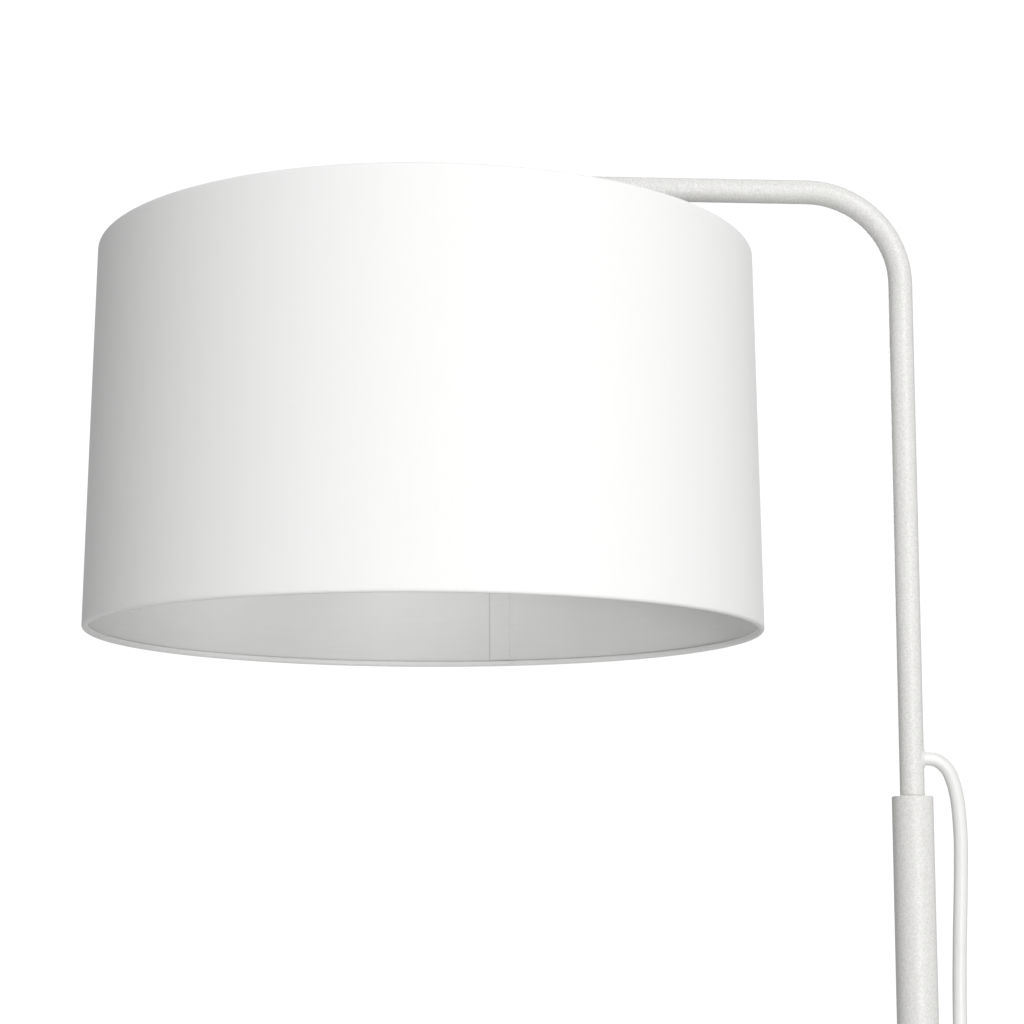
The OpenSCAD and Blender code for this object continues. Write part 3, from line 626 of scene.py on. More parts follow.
class RingTree(Tree):
    """Copies of a mesh set evenly about an upright axis."""

    def __init__(self) -> None:
        """Builds the tree."""
        super().__init__("copies_round_axis", {
            "Count": "Int", "Start": "Float", "Centre": "Vector",
            "Material": "Material"})
        spots = self.node("GeometryNodePoints", {
            "Count": self.given["Count"], "Position": self.given["Centre"]})
        step = self.node("ShaderNodeMath", operation="DIVIDE")
        step.inputs[0].default_value = FULL_TURN
        self.group.links.new(self.given["Count"], step.inputs[1])
        turn = self.node("ShaderNodeMath", operation="MULTIPLY_ADD")
        index = self.node("GeometryNodeInputIndex")
        for k, source in enumerate((index.outputs[0], step.outputs[0], self.given["Start"])):
            self.group.links.new(source, turn.inputs[k])
        rotation = self.node("ShaderNodeCombineXYZ", {"Z": turn.outputs[0]})
        copies = self.node("GeometryNodeInstanceOnPoints", {
            "Points": spots.outputs[0], "Instance": self.given["Geometry"],
            "Rotation": rotation.outputs[0]})
        self.close(copies.outputs["Instances"])


class StitchTree(Tree):
    """Small stitches set end to end along a line."""

    def __init__(self) -> None:
        """Builds the tree."""
        super().__init__("stitches_on_line", {
            "Pitch": "Float", "Size": "Vector", "Material": "Material"})
        line = self.node("GeometryNodeMeshToCurve", {"Mesh": self.given["Geometry"]})
        spaced = self.node("GeometryNodeResampleCurve", {
            "Curve": line.outputs["Curve"], "Length": self.given["Pitch"]}, mode="LENGTH")
        bead = self.node("GeometryNodeMeshIcoSphere")
        bead.inputs["Subdivisions"].default_value = 2
        bead.inputs["Radius"].default_value = 1.0
        along = self.node("GeometryNodeInputTangent")
        facing = self.node("FunctionNodeAlignEulerToVector", {"Vector": along.outputs[0]}, axis="Z")
        copies = self.node("GeometryNodeInstanceOnPoints", {
            "Points": spaced.outputs["Curve"], "Instance": bead.outputs["Mesh"],
            "Rotation": facing.outputs[0], "Scale": self.given["Size"]})
        self.close(copies.outputs["Instances"])


def line_mesh(points: list[Vector], ring: bool = False) -> bpy.types.Mesh:
    """Makes a mesh of edges through points, joined at its ends if it is a ring."""
    mesh = bpy.data.meshes.new("line")
    last = len(points) - 1
    edges = [(i, i + 1) for i in range(last)] + ([(last, 0)] if ring else [])
    mesh.from_pydata(points, edges, [])
    return mesh


def smooth_line(points: list[Vector], step: float) -> list[Vector]:
    """Draws the smooth curve through points, as the CAD source does.

    Args:
        points: The points, in metres.
        step: About how far apart the new points are.

    Returns:
        The points of the curve.
    """
    made = []
    last = len(points) - 1
    for i in range(last):
        a, b, c, d = points[max(i - 1, 0)], points[i], points[i + 1], points[min(i + 2, last)]
        count = max(1, round((c - b).length / step))
        for k in range(count):
            t = k / count
            made.append(b + t * ((c - a) + t * ((2 * a - 5 * b + 4 * c - d)
                                                + t * (3 * (b - c) + d - a))) / 2)
    return made + [points[last]]


def run_length(points: list[Vector]) -> float:
    """Gives the length of a line of points."""
    return sum((b - a).length for a, b in zip(points, points[1:]))


@dataclass
class Workshop:
    """The node trees that the sub-assemblies share, and the way a piece is finished."""

    tube: TubeTree
    ring: RingTree
    stitch: StitchTree

    def bar(self, name: str, points: list[Vector], radius: float, finish: Finish, sides: int = 24,
            closed: bool = False, ends: bool = True) -> Piece:
        """Makes a round bar along a line.

        Args:
            name: The piece's name.
            points: The line.
            radius: The bar's radius.
            finish: Its finish.
            sides: How many faces go round.
            closed: Whether the line is a ring.
            ends: Whether its ends are closed.

        Returns:
            The new piece.
        """
        return self.tube.run(name, line_mesh(points, closed), Radius=radius, Sides=sides,
                             Ends=ends and not closed, Material=finish.material())

    def finish(self, piece: Piece, finish: Finish, body: Body | None, *nodes: str) -> Piece:
        """Gives a piece its material and its body, and hides the CAD nodes that it stands for.

        Args:
            piece: The piece.
            finish: Its finish.
            body: The body that it rides on, or None to leave it without one.
            nodes: The CAD nodes that it replaces.

        Returns:
            The same piece.
        """
        piece.data.materials.clear()
        piece.data.materials.append(finish.material())
        if body:
            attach(piece, body.value)
        if nodes:
            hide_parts(*nodes)
        log.info("%s: %d faces, %s", piece.name, len(piece.data.polygons), finish.name)
        return piece

    def lathed(self, name: str, outline: Outline, finish: Finish, body: Body, node: str,
               centre: Pair = (0.0, 0.0), segments: int = 96) -> Piece:
        """Turns a closed outline about an upright axis and finishes the piece.

        Args:
            name: The piece's name.
            outline: Radius and height of each point, in metres.
            finish: Its finish.
            body: The body that it rides on.
            node: The CAD node that it replaces.
            centre: Where the axis is.
            segments: How many faces go round.

        Returns:
            The new piece.
        """
        return self.finish(lathe(name, outline, centre, segments), finish, body, node)


# ---- sub-assemblies ----


@dataclass
class Base:
    """The weighted plate and the pad under it. Sizes in millimetres."""

    shop: Workshop
    radius: float = 140.0
    top: float = 10.0
    pad: float = 2.0
    pad_inset: float = 6.0
    edge: float = 3.0
    bore: float = 5.25
    sink: float = 10.5

    def build(self) -> None:
        """Builds the plate and the pad."""
        rim = self.radius - self.pad_inset
        self.shop.lathed("base_plate_coated", rounded([
            (self.bore, self.top, 0), (self.radius, self.top, self.edge),
            (self.radius, self.pad, 0.8), (self.sink, self.pad, 0.2),
            (self.bore, self.pad + self.sink - self.bore, 0)], steps=8),
            POWDER_COAT, Body.STAND, "base_plate", segments=256)
        self.shop.lathed("base_pad_foam", rounded([
            (0, 0, 0), (rim, 0, 0.5), (rim, self.pad, 0.5), (0, self.pad, 0)]),
            RUBBER, Body.STAND, "base_pad", segments=192)


@dataclass
class Pole:
    """The pole's two sections. Sizes in millimetres."""

    shop: Workshop
    radius: float = 10.65
    bore: float = 9.15
    foot: float = 10.0
    split: float = 590.075
    top: float = 1170.15

    def build(self) -> None:
        """Builds the lower and the upper section."""
        for name, node, low, high, low_edge, high_edge, bore_edge in (
                ("pole_lower_section", "lower_pole", self.foot, self.split, 0.3, 0.4, 0),
                ("pole_upper_section", "upper_pole", self.split, self.top, 0.4, 0.7, 0.4)):
            self.shop.lathed(name, rounded([
                (self.bore, low, 0), (self.radius, low, low_edge), (self.radius, high, high_edge),
                (self.bore, high, bore_edge)]),
                POWDER_COAT, Body.STAND, node, segments=72)


@dataclass
class Arm:
    """The bent tube and the grommet in its side. Sizes in millimetres."""

    shop: Workshop
    radius: float = 6.35
    wall: float = 1.2
    low: float = 1060.15
    high: float = 1493.65
    bend: float = 50.0
    reach: float = 254.0
    tip: float = 1435.65
    hole: float = 4.4
    lip: float = 4.9
    proud: float = 0.6
    cord_hole: float = 3.7
    seat: float = 3.8

    def line(self) -> list[Vector]:
        """Gives the tube's centre line, closely spaced at the cord's hole and at the bends."""
        start = self.high - self.bend
        spots = [(0, self.low), (0, self.low + 1)]
        spots += [(0, CORD_EXIT_MM + 1.25 * k) for k in range(-8, 9)]
        spots += [(0, start - 4)]
        quarter = between(0, math.pi / 2, 28)
        spots += [(self.bend * (math.cos(a) - 1), start + self.bend * math.sin(a)) for a in quarter]
        spots += [(-self.bend - 4, self.high), (self.bend - self.reach + 4, self.high)]
        spots += [(self.bend * (1 - math.sin(a)) - self.reach, start + self.bend * math.cos(a))
                  for a in quarter]
        spots += [(-self.reach, start - 3), (-self.reach, self.tip + 0.5), (-self.reach, self.tip)]
        return [Vector((x, 0, z)) * MM for x, z in spots]

    def tube(self) -> None:
        """Builds the tube with its wall and the hole for the cord."""
        skin = self.shop.bar("tube_skin", self.line(), self.radius * MM, POWDER_COAT, 48,
                             ends=False)
        wall = skin.modifiers.new("wall", "SOLIDIFY")
        wall.thickness = self.wall * MM
        wall.offset = -1
        hole, far = self.hole * MM, 20 * MM
        drill = lathe("tube_drill", [(0, 0), (hole, 0), (hole, far), (0, far)])
        moved(drill, Matrix.Translation((0, 0, CORD_EXIT_MM * MM))
              @ Matrix.Rotation(math.pi / 2, 4, "Y"))
        cut = skin.modifiers.new("hole", "BOOLEAN")
        cut.object = drill
        cut.solver = "EXACT"
        mesh = settled(skin)
        for spare in (skin, drill):
            bpy.data.objects.remove(spare)
        self.shop.finish(shown("arm_bent_tube", mesh), POWDER_COAT, Body.ARM,
                         "arm_tube")

    def grommet(self) -> None:
        """Builds the grommet, whose lip follows the tube's round side."""
        profile = [(self.cord_hole, None), (self.cord_hole, 0.35), (self.cord_hole + 0.15, 0.55),
                   (self.cord_hole + 0.45, self.proud), (self.lip - 0.25, 0.5), (self.lip, 0.25),
                   (self.lip, 0.03), (self.hole - 0.02, 0.03), (self.hole - 0.02, None)]
        bm = bmesh.new()
        rings = []
        for r, h in profile:
            ring = []
            for a in turns_of(48):
                y, z = r * math.cos(a), r * math.sin(a)
                x = self.seat if h is None else math.sqrt((self.radius + h) ** 2 - y * y)
                ring.append(bm.verts.new(Vector((x, y, CORD_EXIT_MM + z)) * MM))
            rings.append(ring)
        bridge(bm, rings)
        self.shop.finish(piece_of("grommet_lip", bm), BOOT, Body.ARM, "cord_grommet")

    def build(self) -> None:
        """Builds the tube and the grommet."""
        self.tube()
        self.grommet()


@dataclass
class Lampholder:
    """The lampholder's mouldings, all on the shade's axis. Sizes in millimetres."""

    shop: Workshop
    seam: float = 1417.65
    skirt: float = 19.5
    top: float = 1433.65

    def build(self) -> None:
        """Builds the dome, the threaded skirt and the shade ring."""
        self.shop.lathed("holder_dome_moulding", rounded([
            (17.3, self.seam, 0), (22.5, self.seam, 0.4), (22.5, self.seam + 2, 0.7),
            (self.skirt, self.seam + 2, 0.4), (self.skirt, self.top, 6), (5.05, self.top, 0),
            (5.05, self.top - 2.2, 0), (13.5, self.top - 2.2, 0), (17.3, self.top - 6, 0)]),
            HOLDER, Body.ARM, "holder_dome", SHADE_AXIS)
        skirt = threaded("holder_skirt_thread", self.skirt * MM, 16.5 * MM, (self.seam - 34) * MM,
                         self.seam * MM, 2.5 * MM, 0.7 * MM, SHADE_AXIS)
        self.shop.finish(skirt, HOLDER, Body.ARM, "holder_skirt")
        ring = softened("shade_ring_grips", "shade_ring", 0.25 * MM)
        self.shop.finish(ring, HOLDER, Body.ARM, "shade_ring")


@dataclass
class Shade:
    """The drum shade: cloth, lining, seam, wires, spokes and fitter. Sizes in millimetres."""

    shop: Workshop
    radius: float = 175.0
    taper: float = 3.5
    low_wire: Pair = (173.35, 1254.3)
    top_wire: Pair = (169.85, 1449.0)
    wire: float = 1.2
    cloth: float = 0.4
    lining: Pair = (0.42, 0.92)
    rolled: float = -235.0
    waves: tuple[Triple, Triple] = ((0.12, 3, 0.7), (0.07, 7, 2.1))
    lap_rise: float = 0.35
    seam_angle: float = 73.6
    seam_width: float = 14.4
    strip: Pair = (1256.7, 1447.1)
    strip_insets: Pair = (0.95, 1.25)
    strip_shares: tuple[float, ...] = (-1.0, -0.93, -0.6, -0.3, 0.0, 0.3, 0.6, 0.91, 1.0)
    strip_end: float = 0.6
    strip_eased: float = 0.12
    # Share of the seam's half width past which the strip takes the darker grey of painted shade and
    # cut edge.
    shaded_edge_share: float = 0.92
    stitch_in: Pair = (1.6, 1.3)
    stitch_pitch: float = 2.6
    stitch_size: Triple = (0.28, 0.28, 0.95)
    hub: Pair = (26.4, 1416.9)
    fitter: Pair = (20.0, 28.0)
    flat: Pair = (1.115, 0.205)

    def face(self, z: float, inset: float = 0.0) -> Pair:
        """Gives a point of the shade's side at a height, set in from the cloth's face."""
        share = (z - self.low_wire[1]) / (self.top_wire[1] - self.low_wire[1])
        return self.radius - self.taper * share - inset, z

    @staticmethod
    def arc(middle: Pair, radius: float, start: float, end: float) -> Outline:
        """Gives points round an arc from one angle to another, in degrees."""
        count = max(2, math.ceil(abs(end - start) / 15))
        turns = [math.radians(a) for a in between(start, end, count)]
        return [(middle[0] + radius * math.cos(a), middle[1] + radius * math.sin(a)) for a in turns]

    def side(self, inset: float, down: bool) -> Outline:
        """Gives points up or down the side between the two wires."""
        heights = between(self.low_wire[1] + 2, self.top_wire[1] - 2, 12)
        made = [self.face(z, inset) for z in heights]
        return made[::-1] if down else made

    def turns(self) -> list[float]:
        """Gives the cloth's segment angles, close together at its overlapping seam."""
        half = math.degrees(self.seam_width / self.radius) / 2
        edges = [self.seam_angle + s * half + d for s in (-1, 1) for d in (-0.12, 0, 0.12)]
        kept = [a for a in between(0, 360, 240)[:-1] if all(abs(a - e) > 0.5 for e in edges)]
        return [math.radians(a) for a in sorted(kept + edges)]

    def ripple(self, angle: float) -> float:
        """Gives how far the faint waves stand out at an angle."""
        return sum(high * math.sin(n * angle + start) for high, n, start in self.waves) * MM

    def swell(self, angle: float) -> float:
        """Gives how far the cloth stands out at an angle: its waves, and the seam's lap."""
        half = math.degrees(self.seam_width / self.radius) / 2
        away = abs(math.degrees(angle) - self.seam_angle)
        lap = self.lap_rise * min(1.0, max(0.0, (half + 0.06 - away) / 0.12))
        return lap * MM + self.ripple(angle)

    def build(self) -> None:
        """Builds the shade's pieces."""
        inner = self.wire + 0.05
        roll = inner + self.cloth
        section = (self.arc(self.top_wire, roll, 90, 0) + self.side(0, True)
                   + self.arc(self.low_wire, roll, 0, self.rolled)
                   + self.arc(self.low_wire, inner, self.rolled, 0)
                   + self.side(self.cloth, False) + self.arc(self.top_wire, inner, 0, 90))
        film = self.side(self.lining[0], True) + self.side(self.lining[1], False)
        cloth = lathe("shade_cloth", [(r * MM, z * MM) for r, z in section], SHADE_AXIS,
                      swell=self.swell, angles=self.turns())
        lining = lathe("shade_lining", [(r * MM, z * MM) for r, z in film], SHADE_AXIS, 240,
                       swell=self.ripple)
        self.shop.finish(lining, LINING, Body.ARM, "shade_backing")
        strip, stitches = self.seam()
        self.wires()
        self.shop.finish(cloth, FABRIC, Body.ARM, "shade_fabric")

    def seam(self) -> tuple[Piece, Piece]:
        """Builds the strip where the lining's ends overlap, and the stitches near its edge.

        Returns:
            The strip and the stitches.
        """
        half = self.seam_width / self.radius / 2
        middle = math.radians(self.seam_angle)
        low, high = self.strip
        bm = bmesh.new()
        uv = bm.loops.layers.uv.new("UVMap")
        grid = []
        for inset in self.strip_insets:
            rows = []
            for z in (low, low + self.strip_end, high - self.strip_end, high):
                row = []
                for share in self.strip_shares:
                    a = middle + half * share
                    edge = inset > 1 and (abs(share) == 1 or z in self.strip)
                    eased = inset - self.strip_eased if edge else inset
                    r = self.face(z, eased)[0] * MM + self.ripple(a)
                    row.append(bm.verts.new(about(SHADE_AXIS, r, a, z * MM)))
                rows.append(row)
            grid.append(rows)
        outer, inside = grid
        columns = range(len(self.strip_shares) - 1)
        for rows in grid:
            for lower, upper in zip(rows, rows[1:]):
                for k in columns:
                    bm.faces.new((lower[k], lower[k + 1], upper[k + 1], upper[k]))
        for row in (0, -1):
            for k in columns:
                bm.faces.new((outer[row][k], outer[row][k + 1], inside[row][k + 1], inside[row][k]))
        for row in range(len(outer) - 1):
            for k in (0, -1):
                bm.faces.new((outer[row][k], outer[row + 1][k], inside[row + 1][k], inside[row][k]))
        for face in bm.faces:
            for loop in face.loops:
                p = loop.vert.co
                loop[uv].uv = (math.atan2(p.y, p.x - SHADE_AXIS[0]) * self.radius * MM, p.z)
        strip = piece_of("shade_seam_strip", bm)
        self.shop.finish(strip, LINING, Body.ARM, "shade_seam")
        # The strip's left edge takes the darker grey: painted shade of the lapped edge's shadow,
        # with some of the cut edge's own tone.
        strip.data.materials.append(CUT_EDGE_AND_SHADE.material())
        cut = middle + half * self.shaded_edge_share
        for face in strip.data.polygons:
            if math.atan2(face.center.y, face.center.x - SHADE_AXIS[0]) > cut:
                face.material_index = 1
        across, inset = self.stitch_in
        a = middle - half + across / self.radius
        line = [about(SHADE_AXIS, self.face(z, inset)[0] * MM + self.ripple(a), a, z * MM)
                for z in (low + 2, high - 2)]
        stitches = self.shop.stitch.run("shade_seam_stitches", line_mesh(line),
                                        Pitch=self.stitch_pitch * MM,
                                        Size=Vector(self.stitch_size) * MM,
                                        Material=THREAD.material())
        self.shop.finish(stitches, THREAD, Body.ARM)
        return strip, stitches

    def wires(self) -> None:
        """Builds the two rim wires, the spokes and the fitter ring."""
        bm = bmesh.new()
        for radius, z in (self.top_wire, self.low_wire):
            line = [about(SHADE_AXIS, radius * MM, a, z * MM) for a in turns_of(180)]
            ring = self.shop.bar("rim", line, self.wire * MM, POWDER_COAT, 14, closed=True)
            bm.from_mesh(ring.data)
            bpy.data.objects.remove(ring)
        rims = piece_of("shade_rim_wires", bm, outward=False)
        self.shop.finish(rims, POWDER_COAT, Body.ARM,
                         "shade_top_wire", "shade_bottom_wire")
        rim = Vector((self.top_wire[0], 0, self.top_wire[1]))
        hub = Vector((self.hub[0], 0, self.hub[1]))
        path = [(rim + (hub - rim) * s) * MM for s in (0.009, 0.5, 0.985)]
        one = self.shop.bar("spoke_one", path, (self.wire - 0.1) * MM, POWDER_COAT, 16)
        spokes = self.shop.ring.run("shade_spokes_set", one.data, Count=3, Start=math.radians(30),
                                    Centre=(*SHADE_AXIS, 0.0), Material=POWDER_COAT.material())
        bpy.data.objects.remove(one)
        self.shop.finish(spokes, POWDER_COAT, Body.ARM, "shade_spokes")
        bore, rim = self.fitter
        self.shop.lathed("shade_fitter_ring", rounded([
            (bore, 1416.15, 0.3), (rim, 1416.15, 0.4), (rim, 1417.65, 0.4), (bore, 1417.65, 0.3)],
            3, 0.1), POWDER_COAT, Body.ARM, "fitter_ring", SHADE_AXIS)


@dataclass
class Bulb:
    """The bulb, screwed in under the lampholder. Sizes in millimetres."""

    shop: Workshop
    globe_at: float = 1327.45
    globe: float = 30.0
    globe_wall: float = 1.2
    mouth: float = 10.0
    neck: float = 1380.65
    top: float = 1397.65
    cap: float = 13.1
    cap_bore: float = 11.4

    def build(self) -> None:
        """Builds the globe, the housing and the threaded cap."""
        outline = self.globe_arc(self.globe) + self.globe_arc(self.globe - self.globe_wall)[::-1]
        self.shop.lathed("bulb_opal_globe", outline, OPAL, Body.BULB, "bulb_globe",
                         SHADE_AXIS, 72)
        rim = math.sqrt(self.globe ** 2 - self.mouth ** 2)
        low = self.globe_at + self.mouth
        self.shop.lathed("bulb_housing_shell", rounded([
            (0, low, 0), (rim, low, 0.3), (25, low + 6, 3), (17.1, self.neck - 13, 5),
            (14.3, self.neck - 3, 1.2), (13.7, self.neck, 0.3), (0, self.neck, 0)]),
            BULB_SHELL, Body.BULB, "bulb_housing", SHADE_AXIS, 72)
        cap = threaded("bulb_screw_cap", self.cap * MM, self.cap_bore * MM, self.neck * MM,
                       self.top * MM, 3.6 * MM, 1.0 * MM, SHADE_AXIS)
        self.shop.finish(cap, NICKEL, Body.BULB, "bulb_cap")

    def globe_arc(self, radius: float) -> Outline:
        """Gives the globe's side from its lowest point to its mouth, in metres."""
        turns = between(-math.pi / 2, math.asin(self.mouth / radius), 28)
        side = [(radius * math.cos(a) * MM, (self.globe_at + radius * math.sin(a)) * MM)
                for a in turns]
        return [(0.0, side[0][1]), *side[1:]]


@dataclass
class FootSwitch:
    """The foot switch's case, button and boots. Sizes in millimetres."""

    shop: Workshop
    at: Pair = SWITCH_AT_MM
    radius: float = 32.0
    tray: float = 4.2
    height: float = 25.0
    cable: float = 11.0
    boot: float = 22.0
    works: float = 14.0
    flange: float = 20.9
    crown: float = 30.4
    spring: float = 6.0
    spring_wire: float = 0.4
    spring_turns: int = 3

    def boot_piece(self, name: str, way: int, node: str) -> Piece:
        """Builds one tapered boot with its ribs, lying along Y.

        Args:
            name: The piece's name.
            way: 1 on the case's far side and -1 on its near side.
            node: The CAD node that it replaces.

        Returns:
            The boot.
        """
        start = self.radius
        corners = [(3.7, start - 3, 0), (5.5, start - 3, 0.2), (5.5, start, 0)]
        ribs = 5
        for k in range(ribs):
            z = start + (self.boot - 3) * k / ribs
            wide = 6.5 - 1.9 * k / ribs
            corners += [(wide, z + 0.1, 0.35), (wide - 0.2, z + 2.4, 0.35),
                        (wide - 0.9, z + 2.6, 0.2), (wide - 0.95, z + 3.7, 0.2)]
        corners += [(4.9, start + self.boot - 3, 0.3), (4.6, start + self.boot, 0.4),
                    (3.7, start + self.boot, 0)]
        piece = lathe(name, rounded(corners, 3, 0.1), segments=40)
        moved(piece, Matrix.Translation((self.at[0] * MM, self.at[1] * MM, self.cable * MM))
               @ Matrix.Rotation(-way * math.pi / 2, 4, "X"))
        return self.shop.finish(piece, BOOT, Body.STAND, node)

    def return_spring(self) -> None:
        """Builds the return spring, which shortens as the button goes down."""
        low, high = self.works + self.spring_wire, self.flange - self.spring_wire
        steps = 24
        heights = between(low, high, steps * self.spring_turns)
        line = [about(self.at, self.spring, FULL_TURN * i / steps, z) * MM
                for i, z in enumerate(heights)]
        coil = self.shop.bar("switch_spring_coil", line, self.spring_wire * MM, ZINC, 10)
        self.shop.finish(coil, ZINC, None, "switch_spring")
        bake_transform(coil)

    def build(self) -> list[Piece]:
        """Builds the switch.

        Returns:
            The pieces that go with the cord.
        """
        centre = (self.at[0] * MM, self.at[1] * MM)
        case = self.shop.lathed("switch_case_cover", rounded([
            (self.radius - 2, self.tray, 0), (self.radius, self.tray, 0.4),
            (self.radius, self.height, 9.8), (17.3, self.height, 0.5), (17.3, self.height - 2, 0),
            (23, self.height - 2, 0), (self.radius - 2, 16, 0)], 14, 0.5),
            SWITCH_WHITE, Body.STAND, "switch_cover", centre)
        top, low, crown = self.flange + 2, self.flange, self.crown
        self.shop.lathed("switch_button_cap", rounded([
            (0, low, 0), (18.5, low, 0.2), (18.5, top, 0.3), (17, top, 0.2), (17, crown, 1.5),
            (13.6, crown, 0.3), (13.2, crown - 0.5, 0.2), (12.6, crown - 0.5, 0.2),
            (12.2, crown - 0.1, 0.3), (6, crown - 0.4, 3), (0, crown - 0.5, 0)], 5, 0.15),
            SWITCH_GREY, Body.BUTTON, "switch_button", centre, 72)
        self.return_spring()
        inlet = self.boot_piece("switch_boot_inlet", -1, "switch_inlet_boot")
        outlet = self.boot_piece("switch_boot_outlet", 1, "switch_outlet_boot")
        return [case, inlet, outlet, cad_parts["switch_base"]]


@dataclass
class Plug:
    """The mains plug and its boot, lying behind the base. Sizes in millimetres."""

    shop: Workshop

    def build(self) -> list[Piece]:
        """Builds the plug.

        Returns:
            The pieces that go with the cord.
        """
        body = softened("plug_body_moulding", "plug_body", 0.7 * MM)
        self.shop.finish(body, BOOT, Body.STAND, "plug_body")
        boot = softened("plug_boot_taper", "plug_boot", 0.3 * MM)
        self.shop.finish(boot, BOOT, Body.STAND, "plug_boot")
        return [body, boot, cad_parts["plug_pins"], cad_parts["plug_earth_clips"]]


@dataclass
class Cord:
    """The mains cord from the arm to the plug, in two runs. Sizes in millimetres."""

    shop: Workshop
    radius: float = 3.6
    leave: float = 7.3
    winds: Pair = (1079.65, 130.0)
    base_top: float = 10.0
    switch: Pair = SWITCH_AT_MM
    case: float = 32.0
    boot: float = 22.0
    cable: float = 11.0
    cable_end: float = 26.0
    coil_at: Pair = (105.4, 225.0)
    coil: float = 41.0
    coil_low: float = 0.85
    plug_at: Pair = (15.0, 268.0)
    plug_height: float = 18.5
    plug_boot: float = 34.0
    plug_grip: float = 8.0
    tie_half: Pair = (7.75, 7.25)
    tie_corner: float = 3.2
    tie_thick: float = 0.75
    tie_width: float = 10.0
    tie_turn: float = 225.0

    def drop_route(self) -> list[Vector]:
        """Gives the route from the arm's side down the pole and over the base to the switch."""
        bend = [(-0.95, 0), (1.2, 0), (3.6, -0.2), (6.2, -1), (9, -2.9), (11.3, -5.4), (12.8, -8),
                (13.9, -11), (15, -14.6), (15.9, -19), (16.7, -25), (17.3, -34), (17.5, -45),
                (16.9, -66), (15.5, -98)]
        hang = [(21.9, 0, 0.885), (21.6, 0.5, 0.81), (21.5, 1, 0.71), (22.5, 0.5, 0.58),
                (24, -1, 0.45), (24, -1.5, 0.31), (22.5, -1, 0.2), (21.5, 0, 0.11)]
        lying = self.base_top + self.radius + 0.1
        x, y = self.switch
        spots = [(self.leave + a, 0, CORD_EXIT_MM + b) for a, b in bend]
        spots += [(a, b, self.base_top + c * (CORD_EXIT_MM - self.base_top)) for a, b, c in hang]
        spots += [(22, 0, lying + 66), (25, 0, lying + 34), (34, 0.5, lying + 12),
                  (51, 1, lying + 1.5), (70, 2, lying), (90, 5, lying), (108, 11, lying),
                  (124, 20, lying), (136, 31, lying - 0.1), (144, 42, lying - 0.9),
                  (148.4, 53, lying - 1.9), (x, 63, self.cable + 0.2),
                  (x, y - self.case - self.boot, self.cable), (x, y - self.case - 6, self.cable),
                  (x, y - self.cable_end, self.cable)]
        return [Vector(p) for p in spots]

    def link_route(self) -> list[Vector]:
        """Gives the route from the switch to the coil."""
        x, y = self.switch
        low = self.coil_low + self.radius
        far = self.coil_at[1]
        return [Vector(p) for p in (
            (x, y + self.cable_end, self.cable), (x, y + self.case + 6, self.cable),
            (x, y + self.case + self.boot, self.cable),
            (x, y + self.case + self.boot + 9, self.cable - 1.6), (x, far - 23, low + 1.2),
            (x, far - 14, low), (x, far, low))]

    def coil_route(self) -> list[Vector]:
        """Gives the coil's turns: two layers of two, each step between them in its own place."""
        near, far = self.coil - self.radius, self.coil + self.radius
        low = self.coil_low + self.radius
        high = low + 2 * self.radius
        stages = [(0, far, low), (290, far, low), (360, near, low), (590, near, low),
                  (650, near, high), (890, near, high), (950, far, high), (1170, far, high)]
        made = []
        for (a0, r0, z0), (a1, r1, z1) in zip(stages, stages[1:]):
            for t in between(0, 1, round((a1 - a0) / 7.5))[:-1]:
                s = t * t * (3 - 2 * t)
                a = math.radians(a0 + (a1 - a0) * t)
                made.append(about(self.coil_at, r0 + (r1 - r0) * s, a, z0 + (z1 - z0) * s))
        return made

    def tail_route(self) -> list[Vector]:
        """Gives the route from the coil to the plug."""
        x, y = self.coil_at[0], self.coil_at[1] + self.coil + self.radius
        high = self.coil_low + 3 * self.radius
        px, py, pz = *self.plug_at, self.plug_height
        return [Vector(p) for p in (
            (x, y, high), (x - 11, y, high), (x - 22, y - 0.5, high - 2.6),
            (x - 32, y - 1.1, self.radius + 2), (x - 42, y - 1.5, self.radius + 0.2),
            (x - 52, y - 1.7, self.radius + 0.5), (x - 62, py, self.radius + 3.8),
            (x - 72, py, pz - 6.5), (x - 81, py, pz - 1.6), (px, py, pz), (px - 12, py, pz),
            (px - 24, py, pz), (px - self.plug_boot - self.plug_grip + 2, py, pz))]

    def build(self, switch_pieces: list[Piece], plug_pieces: list[Piece]) -> None:
        """Args:
            switch_pieces: The foot switch's pieces; not used.
            plug_pieces: The plug's pieces; not used.
        """
        upper = [p * MM for p in smooth_line(self.drop_route(), 4)]
        lower = [p * MM for p in (smooth_line(self.link_route(), 4)[:-1] + self.coil_route()
                                  + smooth_line(self.tail_route(), 4))]
        run = self.shop.bar("cord_upper_run", upper, self.radius * MM, CORD, 20)
        self.shop.finish(run, CORD, None, "cord_drop")
        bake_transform(run)
        rest = self.shop.bar("cord_lower_run", lower, self.radius * MM, CORD, 20)
        self.shop.finish(rest, CORD, Body.STAND, "cord_link", "cord_coil", "cord_tail")
        tie = self.tie()
        log.info("cord runs %.3f m and %.3f m", run_length(upper), run_length(lower))

